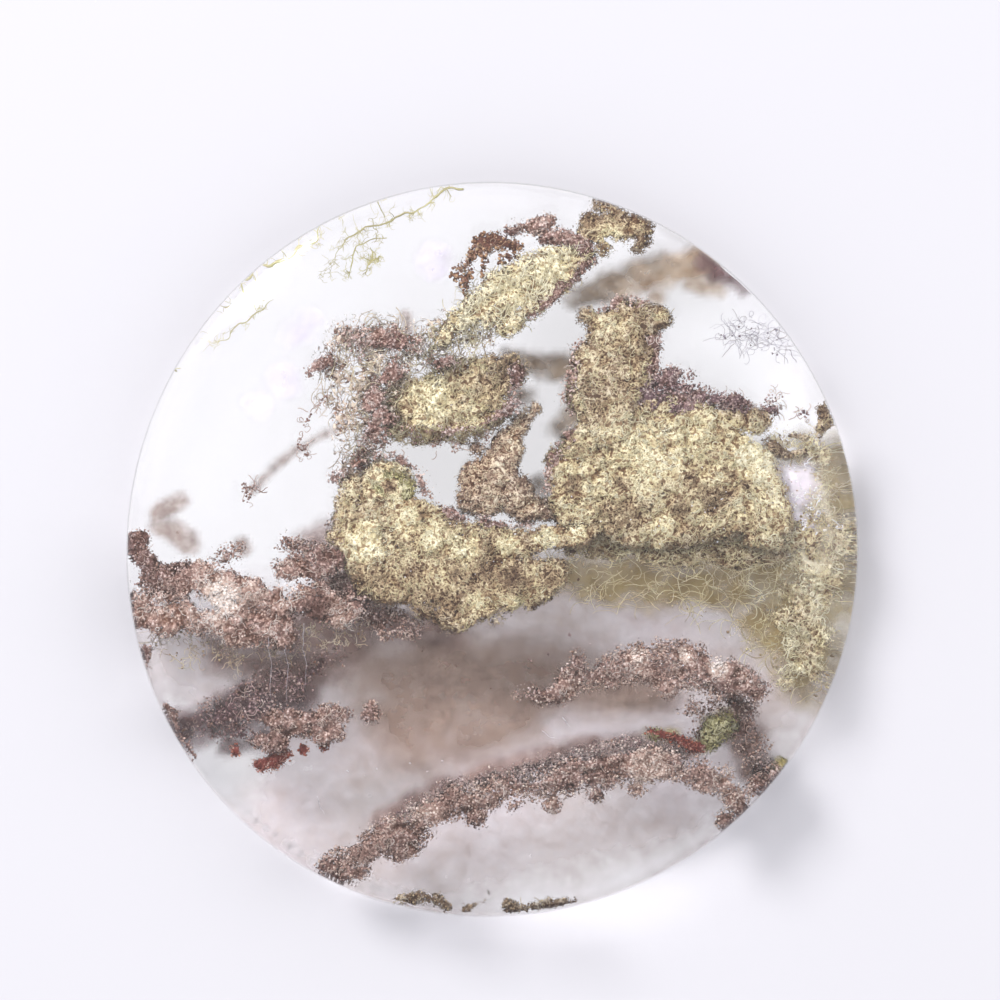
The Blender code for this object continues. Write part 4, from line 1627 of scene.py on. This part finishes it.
def lower_growths() -> list[Growth]:
    """The crusts across the lower half and along the bottom edge."""
    return [
        Growth("moss_lower_crust", Finish.CRUST, [
            [(1.1, -5.95, 0.22), (2.55, -5.75, 0.32), (3.4, -4.95, 0.6), (3.4, -4.4, 0.45)],
            [(3.9, -5.2, 0.4), (5.2, -4.7, 0.7), (6.4, -4.7, 0.95), (8.1, -4.9, 1.05), (9.7, -5.3, 0.8),
             (10.7, -5.75, 0.5)],
            [(7.9, -6.2, 0.3)],
        ], seed=51, depth=0.75, core=0.56, rim=0.30, light=0.45, knob=0.4, thread_count=12,
           grain_count=37, grain_tone=(0.2, 0.8), thread_radius=0.012, lace=0.9, solid=0.95, airy=0.25,
           patches=[(7.8, -4.3, 0.45, 0.95, 0.80), (9.1, -4.7, 0.45, 0.95, 0.85),
                    (6.8, -4.7, 0.6, 0.32, 0.34), (5.9, -4.3, 0.4, 0.80, 0.62)]),
        Growth("moss_bottom_arc", Finish.CRUST, [
            [(-6.6, -12.8, 0.4), (-5.2, -12.2, 0.6), (-3.8, -11.5, 0.62), (-2.5, -10.7, 0.6),
             (-1.3, -10.1, 0.55), (0.3, -9.75, 0.5)],
            [(0.3, -9.75, 0.5), (1.9, -9.4, 0.55), (3.6, -9.0, 0.55), (5.2, -8.8, 0.6), (6.6, -8.7, 0.6),
             (8.1, -8.9, 0.5), (9.3, -9.4, 0.5), (9.9, -10.1, 0.4)],
            [(-0.7, -10.65, 0.35)],
            [(0.8, -10.3, 0.22)],
            [(2.4, -10.2, 0.25)],
            [(4.15, -9.85, 0.2)],
            [(5.8, -9.7, 0.32)],
            [(9.3, -11.0, 0.22)],
            [(-3.85, -12.3, 0.18), (-2.3, -11.3, 0.2)],
            [(-5.1, -12.9, 0.3), (-6.4, -13.2, 0.25)],
            [(10.5, -9.6, 0.4), (11.5, -9.0, 0.3)],
        ], seed=52, depth=0.75, ragged=0.24, core=0.55, rim=0.36, light=0.46, knob=0.38, thread_count=12,
           grain_count=40, grain_tone=(0.2, 0.8), thread_radius=0.012, lace=0.8, airy=0.25,
           patches=[(5.8, -9.6, 0.6, 0.55, 0.35), (6.4, -8.7, 1.2, 0.72, 0.55),
                    (-5.2, -12.2, 0.8, 0.40, 0.42), (8.5, -8.8, 0.5, 0.35, 0.36),
                    (-1.7, -10.2, 0.7, 0.36, 0.34)]),
        Growth("moss_lower_right", Finish.CRUST, [
            [(8.4, -7.5, 0.2), (9.3, -7.0, 0.4), (10.1, -7.3, 0.5), (10.6, -8.1, 0.5), (10.7, -8.9, 0.45),
             (11.4, -9.1, 0.3)],
            [(8.3, -6.5, 0.2), (9.6, -6.3, 0.3), (10.4, -6.5, 0.2)],
        ], seed=56, depth=1.5, thick=0.7, core=0.34, rim=0.26, light=0.36, lace=1.1, solid=0.85,
           airy=0.35, knob=0.4, thread_count=14, grain_count=24, outside=0.4),
        Growth("moss_lower_green", Finish.GREEN, [
            [(9.5, -6.9, 0.3), (9.0, -7.2, 0.4), (8.6, -7.8, 0.25)],
            [(11.6, -8.7, 0.2)],
            [(6.6, -7.4, 0.12)],
        ], seed=57, depth=1.2, thick=0.5, core=0.5, rim=0.2, light=0.42, lace=0.7, solid=0.85, airy=0.2,
           thread_count=26, grain_count=16, rim_grains=20),
        Growth("moss_bottom_shadow", Finish.PURPLE, [
            [(-4.4, -11.1, 0.3), (-2.6, -10.1, 0.32), (-0.9, -9.5, 0.3), (1.1, -9.0, 0.35),
             (3.6, -8.4, 0.4), (5.6, -8.1, 0.38), (7.6, -8.2, 0.35)],
            [(10.9, -8.9, 0.25), (11.6, -8.8, 0.2)],
        ], seed=53, depth=1.3, thick=0.8, core=0.42, rim=0.32, knob=0.36, thread_count=12, grain_count=29,
           rim_grains=60, grain_tone=(0.1, 0.8), thread_radius=0.012, solid=0.7, lace=1.0, airy=0.3,
           step=0.09),
        Growth("moss_bottom_rim", Finish.OLIVE, [
            [(-3.8, -14.25, 0.25), (-2.7, -14.0, 0.25), (-1.9, -14.3, 0.2)],
            [(-1.1, -14.5, 0.16), (-0.35, -14.2, 0.10), (-0.1, -13.8, 0.08)],
            [(0.6, -14.4, 0.2), (1.3, -14.5, 0.16), (2.3, -14.3, 0.24), (3.2, -14.3, 0.12)],
        ], seed=54, depth=0.5, thick=0.5, ragged=0.16, core=0.3, rim=0.12, light=0.42, knob=0.34,
           thread_count=30, grain_count=24, rim_grains=50, grain_tone=(0.0, 0.5), lace=0.35, airy=0.2),
        Growth("moss_dark_specks", Finish.PURPLE, [
            [(4.0, -1.5, 0.06)], [(2.6, -3.5, 0.07)], [(3.95, -3.4, 0.06)], [(4.5, -2.9, 0.06)],
            [(6.4, -2.35, 0.05)], [(1.5, -4.4, 0.12)], [(2.2, -4.2, 0.12)], [(3.1, -3.4, 0.12)],
            [(0.9, -5.0, 0.06)], [(-12.0, -8.9, 0.1)], [(-13.2, 5.9, 0.05)], [(-13.0, 5.5, 0.05)],
            [(4.2, 10.4, 0.06)], [(-3.3, 7.9, 0.05)],
        ], seed=55, thick=0.0, ragged=0.0, core=0.1, thread_count=0, grain_count=0, rim_grains=110,
           rim_size=(0.03, 0.06), outside=0.02, grain_tone=(0.0, 0.3)),
    ]


def edge_growths() -> list[Growth]:
    """What grows near the right edge: grains, a leaf and grey fibres, and a white patch that is painted
    glare.
    """
    return [
        Growth("moss_right_rim", Finish.OLIVE, [
            [(13.5, 5.4, 0.4), (13.3, 4.8, 0.3)],
            [(11.3, 4.1, 0.22), (11.8, 3.8, 0.14), (12.6, 3.9, 0.08)],
            [(12.0, 4.6, 0.08), (12.6, 4.5, 0.1)],
        ], seed=61, depth=0.7, thick=0.6, ragged=0.14, core=0.46, rim=0.3, light=0.42, knob=0.32,
           thread_count=33, grain_count=21, rim_grains=20, lace=0.3,
           patches=[(13.1, 5.5, 0.35, 0.05, 0.15)]),
        Growth("moss_right_grains", Finish.PURPLE, [
            [(11.2, 6.1, 0.2)], [(11.6, 6.2, 0.14)], [(11.5, 5.7, 0.18)],
            [(12.3, 5.5, 0.14), (12.7, 5.4, 0.08)], [(11.1, 5.5, 0.14)],
        ], seed=62, depth=0.8, thick=0.0, ragged=0.08, core=0.2, thread_count=25, grain_count=24,
           rim_grains=50, grain_tone=(0.0, 0.4)),
        # Painted glare: white threads and grains where a lamp's reflection whitens the dome.
        Growth("painted_glare_patch", Finish.WHITE, [
            [(11.2, 3.3, 0.5), (12.2, 3.2, 0.5), (12.0, 2.4, 0.9), (13.2, 1.4, 0.7)],
        ], seed=63, depth=0.6, thick=0.0, ragged=0.4, core=0.6, rim=0.5, thread_count=5,
           thread_radius=0.02, grain_count=14, rim_grains=4, grain_tone=(0.5, 1.0),
           grain_size=(0.03, 0.07)),
        Growth("grey_fibres", Finish.GREY, [
            [(9.1, 9.0, 0.15), (10.1, 9.1, 0.25), (11.0, 8.8, 0.25), (11.75, 8.5, 0.25)],
            [(9.1, 8.6, 0.15), (10.1, 8.4, 0.25), (10.9, 8.15, 0.25), (11.75, 7.9, 0.25)],
        ], seed=64, depth=0.8, thick=0.0, ragged=0.2, core=0.36, rim=0.36, light=0.36, thread_count=39,
           thread_points=14, thread_radius=0.01, curl=0.22, flow=-16, grain_count=4, rim_grains=3,
           grain_tone=(0.0, 0.3)),
        Growth("white_sparkles", Finish.WHITE, [
            [(4.8, 2.8, 2.2), (8.5, 2.5, 2.2)], [(-3.5, 0.0, 1.5), (0.5, -1.3, 0.8)],
            [(-11.0, -1.8, 0.8), (-8.0, -2.3, 0.6)], [(6.0, -4.8, 0.6), (9.0, -5.0, 0.6)],
        ], seed=65, depth=0.42, thick=0.0, ragged=0.3, thread_count=0, grain_count=3.0,
           grain_size=(0.02, 0.045), rim_grains=0, grain_tone=(0.3, 1.0), light=0.6),
    ]


def sprigs() -> list[Sprig]:
    """The green-gold sprigs along the upper left edge, and the fine white scratches and specks."""
    return [
        Sprig("sprig_top", Finish.GREEN, [
            [(-1.1, 14.5, 0.05), (-2.1, 14.3, 0.06), (-3.0, 13.75, 0.06), (-3.8, 13.4, 0.07),
             (-4.4, 13.15, 0.06), (-5.0, 13.0, 0.06), (-5.8, 12.5, 0.05), (-6.4, 11.9, 0.04),
             (-6.8, 11.0, 0.03)],
            [(-4.2, 12.6, 0.03), (-4.9, 12.4, 0.04), (-5.5, 12.2, 0.05), (-5.6, 11.7, 0.05),
             (-5.7, 11.0, 0.06)],
            [(-4.9, 14.0, 0.03), (-4.5, 13.8, 0.03), (-4.3, 13.2, 0.03)],
        ], seed=71),
        Sprig("sprig_clump", Finish.GREEN, [
            [(-4.7, 12.0, 0.06), (-4.9, 11.7, 0.08), (-5.1, 11.3, 0.06), (-5.2, 11.0, 0.05)],
            [(-4.4, 11.8, 0.05), (-4.9, 11.6, 0.07), (-5.3, 11.7, 0.05)],
        ], seed=72, twigs=14.0, twig_length=0.28),
        Sprig("sprig_left", Finish.GREEN, [
            [(-6.0, 13.5, 0.03), (-6.85, 12.9, 0.04), (-7.4, 12.4, 0.06), (-7.9, 12.1, 0.09),
             (-8.4, 11.7, 0.08), (-9.4, 11.1, 0.06), (-10.0, 10.7, 0.09), (-9.9, 10.1, 0.08),
             (-9.5, 9.45, 0.05)],
            [(-9.5, 9.45, 0.05), (-10.3, 8.95, 0.04), (-10.9, 8.55, 0.03), (-11.8, 8.05, 0.02)],
            [(-9.5, 9.45, 0.05), (-9.1, 9.8, 0.04), (-8.75, 10.05, 0.03)],
            [(-10.2, 9.9, 0.04), (-10.9, 9.7, 0.03)],
        ], seed=73, twigs=3.5),
        Sprig("surface_scratches", Finish.WHITE, [
            [(-7.1, -9.95, 0.02), (-6.75, -10.7, 0.02)], [(2.75, -6.75, 0.02), (3.1, -7.05, 0.02)],
            [(1.95, -7.3, 0.02), (2.5, -7.55, 0.02)], [(-9.0, -3.0, 0.012), (-8.9, -6.0, 0.012)],
            [(-8.3, -3.1, 0.012), (-8.25, -6.1, 0.012)], [(-7.6, -3.0, 0.012), (-7.5, -5.6, 0.012)],
            [(-5.9, -8.9, 0.04), (-5.8, -8.95, 0.04)], [(-5.2, -9.1, 0.035), (-5.1, -9.1, 0.035)],
            [(-4.7, -8.8, 0.03), (-4.65, -8.85, 0.03)], [(-3.4, -8.6, 0.04), (-3.3, -8.6, 0.04)],
            [(-2.7, -8.95, 0.03), (-2.6, -8.9, 0.03)], [(-2.1, -8.5, 0.035), (-2.0, -8.5, 0.035)],
        ], seed=75, depth=0.25, twigs=0.0),
        Sprig("sprig_rim", Finish.GREEN, [
            [(-12.8, 7.4, 0.12), (-12.6, 7.1, 0.12)], [(-14.1, 4.5, 0.03), (-14.25, 3.7, 0.03)],
        ], seed=74, twigs=10.0, twig_length=0.2, hairs=1),
    ]


def hazes() -> list[Haze]:
    """The blurred plumes deep in the stone; a lavender sheet at the right that is painted reflection of a
    lamp in the dome, and a cream one there that is partly pale moss and partly painted reflection; and the
    milkiness of its lower half, partly a real milky band and partly painted shadow.
    """
    brown = HazeFinish("brown haze", (166, 146, 124), (122, 100, 80), 0.70, 0.1, 0.5, 2.2)
    purple = HazeFinish("purple haze", (152, 124, 116), (106, 82, 78), 0.66, 0.12, 0.6, 2.2)
    deep = HazeFinish("deep purple haze", (124, 96, 98), (86, 64, 64), 0.74, 0.08, 0.55, 2.4)
    faint = HazeFinish("faint haze", (160, 138, 128), (118, 96, 88), 0.52, 0.1, 0.8, 3.0)
    olive = HazeFinish("olive haze", (182, 163, 116), (150, 128, 82), 0.72, 0.1)
    # The milk sheets are partly real milkiness and partly painted shadow, greying the lower half of the
    # stone.
    milk = HazeFinish("milk", (212, 201, 209), (184, 169, 167), 0.58, 0.12)
    taupe = HazeFinish("taupe milk", (162, 138, 124), (130, 106, 94), 0.66, 0.12, 0.4)
    moss_green = HazeFinish("moss green haze", (176, 164, 104), (130, 112, 60), 0.80, 0.1, mottle_scale=2.6)
    lilac = HazeFinish("lilac smudge", (226, 218, 238), (205, 196, 222), 0.30)
    cream = HazeFinish("cream haze", (222, 214, 194), (202, 190, 160), 0.46, 0.12)
    # A painted reflection: a pale lavender tint for a sheet just under the dome at the right, standing in for
    # a lamp reflected in the polish.
    painted_reflection_tint = HazeFinish("lavender fracture", (228, 222, 230), (208, 198, 210), 0.75, 0.2, mottle_scale=2.4)
    return [
        Haze("haze_branch", brown, [
            [(3.4, 10.0, 0.35), (4.4, 10.5, 0.55), (6.0, 11.0, 0.6), (7.7, 11.4, 0.6), (8.7, 11.6, 0.5)],
            [(6.6, 10.2, 0.25)],
            [(7.9, 10.7, 0.25), (9.1, 10.5, 0.2)],
        ], height=2.2, seed=81, soft=0.45),
        Haze("haze_branch_end", deep, [
            [(8.6, 11.6, 0.35), (9.4, 11.2, 0.40), (10.1, 10.6, 0.25)],
            [(8.9, 10.9, 0.15)],
        ], height=2.5, seed=94, soft=0.4),
        Haze("haze_behind_spire", brown, [
            [(3.4, 5.6, 0.4), (2.7, 5.0, 0.25)],
            [(1.9, 2.6, 0.35)],
            [(0.6, 7.9, 0.2), (1.9, 7.5, 0.4), (3.3, 7.3, 0.4)],
            [(1.1, 6.2, 0.35)],
            [(3.3, 6.4, 0.3)],
        ], height=2.0, seed=82, soft=0.5),
        Haze("haze_left_deep", purple, [
            [(-6.2, -1.5, 0.9), (-5.0, -2.1, 1.1), (-5.8, -3.7, 1.0), (-6.8, -4.5, 0.8)],
            [(-8.9, -3.6, 0.9), (-7.4, -3.4, 0.9)],
            [(-3.8, -3.1, 0.6), (-1.7, -3.3, 0.4)],
            [(-7.4, 0.3, 0.4), (-6.2, 0.4, 0.5)],
            [(-11.2, -4.2, 0.5), (-9.2, -4.7, 0.6), (-7.9, -5.0, 0.8)],
        ], height=1.9, seed=83, soft=0.8),
        Haze("haze_lower_left", deep, [
            [(-12.3, -7.2, 0.7), (-10.9, -6.8, 0.85), (-9.7, -6.2, 0.95), (-8.3, -5.7, 0.9),
             (-7.5, -5.0, 0.9)],
            [(-10.6, -7.8, 0.4), (-9.2, -7.7, 0.4)],
        ], height=1.7, seed=84),
        Haze("haze_lower_middle", faint, [
            [(-2.5, -4.5, 0.8), (-0.5, -5.3, 0.8), (0.3, -6.3, 0.5)],
            [(-2.1, -6.5, 0.5), (-2.3, -7.4, 0.4)],
            [(1.2, -6.4, 0.4), (3.0, -6.0, 0.4), (5.0, -5.6, 0.5), (7.0, -6.1, 0.4)],
        ], height=1.6, seed=85, soft=0.7),
        Haze("haze_bottom_arc", purple, [
            [(-4.4, -10.9, 0.35), (-2.1, -9.75, 0.4), (1.1, -8.7, 0.45), (3.6, -8.0, 0.5),
             (5.6, -7.8, 0.4), (8.0, -8.0, 0.4)],
            [(8.9, -7.4, 0.5), (10.1, -7.4, 0.8), (10.6, -8.6, 0.8), (11.4, -9.0, 0.4)],
        ], height=1.8, seed=86, soft=0.5),
        # Painted reflection of a lamp in the dome, laid just under the polish.
        Haze("painted_reflection_sheet", painted_reflection_tint, [
            [(10.7, 3.6, 0.35), (11.3, 2.9, 0.6), (12.2, 2.4, 0.8), (12.8, 3.1, 0.4)],
            [(11.6, 1.6, 0.5), (12.6, 1.2, 0.5)],
        ], height=4.6, seed=95, follow=1.0),
        Haze("haze_lower_olive", moss_green, [
            [(9.6, -6.8, 0.3), (9.0, -7.2, 0.35), (8.6, -7.8, 0.2)],
            [(11.6, -8.7, 0.2)],
            [(6.4, -7.4, 0.1), (7.2, -7.4, 0.1)],
        ], height=2.6, seed=93, soft=0.5),
        Haze("haze_left_strand", faint, [
            [(-5.8, 5.1, 0.06), (-7.0, 4.5, 0.08), (-7.9, 4.0, 0.10), (-9.0, 3.1, 0.10), (-9.6, 2.5, 0.12)],
            [(-13.5, 1.4, 0.3), (-12.6, 2.0, 0.25)],
            [(-13.6, 0.9, 0.3), (-13.0, 0.8, 0.45), (-12.3, 0.3, 0.45)],
            [(-10.1, 0.1, 0.3)],
            [(-3.5, 9.4, 0.12), (-3.4, 8.8, 0.15)],
        ], height=1.9, seed=87, soft=0.3),
        Haze("haze_right_olive", olive, [
            [(2.8, -1.0, 0.8), (6.0, -1.1, 1.0), (9.3, -1.2, 1.2), (12.1, -1.7, 1.4)],
            [(10.8, -2.8, 0.8), (11.6, -3.4, 1.3), (12.9, -3.9, 1.3), (12.4, -5.2, 0.8)],
            [(13.4, -2.1, 1.1), (13.5, -0.4, 1.1), (13.5, 1.6, 1.1), (13.4, 3.4, 0.9)],
            [(12.0, 0.6, 0.6), (12.6, 4.4, 0.3)],
        ], height=1.6, seed=88, soft=0.9, mottle=0.25),
        # Partly pale moss, partly painted reflection: the soft whitening where a lamp is reflected in the
        # dome at the right.
        Haze("haze_right_cream", cream, [
            [(13.1, 2.6, 0.4), (13.0, 0.8, 0.6), (12.9, -0.4, 0.4)],
            [(10.8, 3.6, 0.7), (11.4, 2.6, 0.8), (12.1, 1.8, 0.7)],
        ], height=2.6, seed=89),
        # Partly a real milky band, partly painted shadow over the lower half.
        Haze("milky_band_and_painted_shadow", milk, [
            [(-12.5, -4.0, 1.5), (-9.0, -5.5, 3.0), (-4.0, -6.5, 5.0), (2.0, -7.0, 6.0), (7.0, -6.5, 4.5),
             (11.0, -5.5, 2.0)],
            [(-8.0, -10.0, 2.0), (-3.0, -12.0, 2.0), (3.0, -12.0, 2.0), (8.0, -10.0, 1.5)],
            [(-5.0, -2.0, 1.5), (3.0, -2.5, 1.5), (8.0, -2.5, 1.5)],
        ], height=0.7, seed=90, soft=2.2, mottle_size=3.0, step=0.35, slot="agate"),
        Haze("milky_middle_and_painted_shadow", taupe, [
            [(-4.5, -5.0, 0.8), (-2.5, -5.8, 1.8), (0.5, -5.8, 1.7), (3.5, -5.4, 1.4), (6.5, -5.8, 1.0)],
            [(-3.2, -7.0, 1.8), (-0.8, -7.0, 1.9), (1.2, -6.8, 1.2)],
        ], height=1.1, seed=91, soft=1.5, mottle=0.22, mottle_size=2.2, step=0.3, slot="agate"),
        Haze("lilac_smudges", lilac, [
            [(-8.5, 6.9, 0.5)], [(-9.6, 5.9, 0.4)], [(-2.3, 11.6, 0.5)],
            [(-8.0, 8.6, 0.3), (-7.2, 9.2, 0.3)],
        ], height=1.5, seed=92, slot="agate"),
    ]


def main() -> None:
    """Builds the stone, the moss in it and the studio."""
    logging.basicConfig(level=logging.INFO, format="%(message)s")
    form = StoneForm()
    stone = ClearStone(form).build()
    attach(stone, "root")
    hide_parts("cabochon")
    log.info("%s: %d faces", stone.name, len(stone.data.polygons))
    total = 0
    growths = right_growths() + middle_growths() + net_growths() + left_growths()
    growths += lower_growths() + edge_growths()
    for growth in growths + sprigs():
        piece = growth.build(form)
        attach(piece, "root")
        total += len(piece.data.polygons)
        log.info("%s: %d faces", piece.name, len(piece.data.polygons))
    for haze in hazes():
        piece = haze.build(form)
        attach(piece, "root")
        total += len(piece.data.polygons)
        log.info("%s: %d faces", piece.name, len(piece.data.polygons))
    log.info("all moss and haze: %d faces", total)
    Studio().build()
    render_settings()


if __name__ == "__main__":
    main()
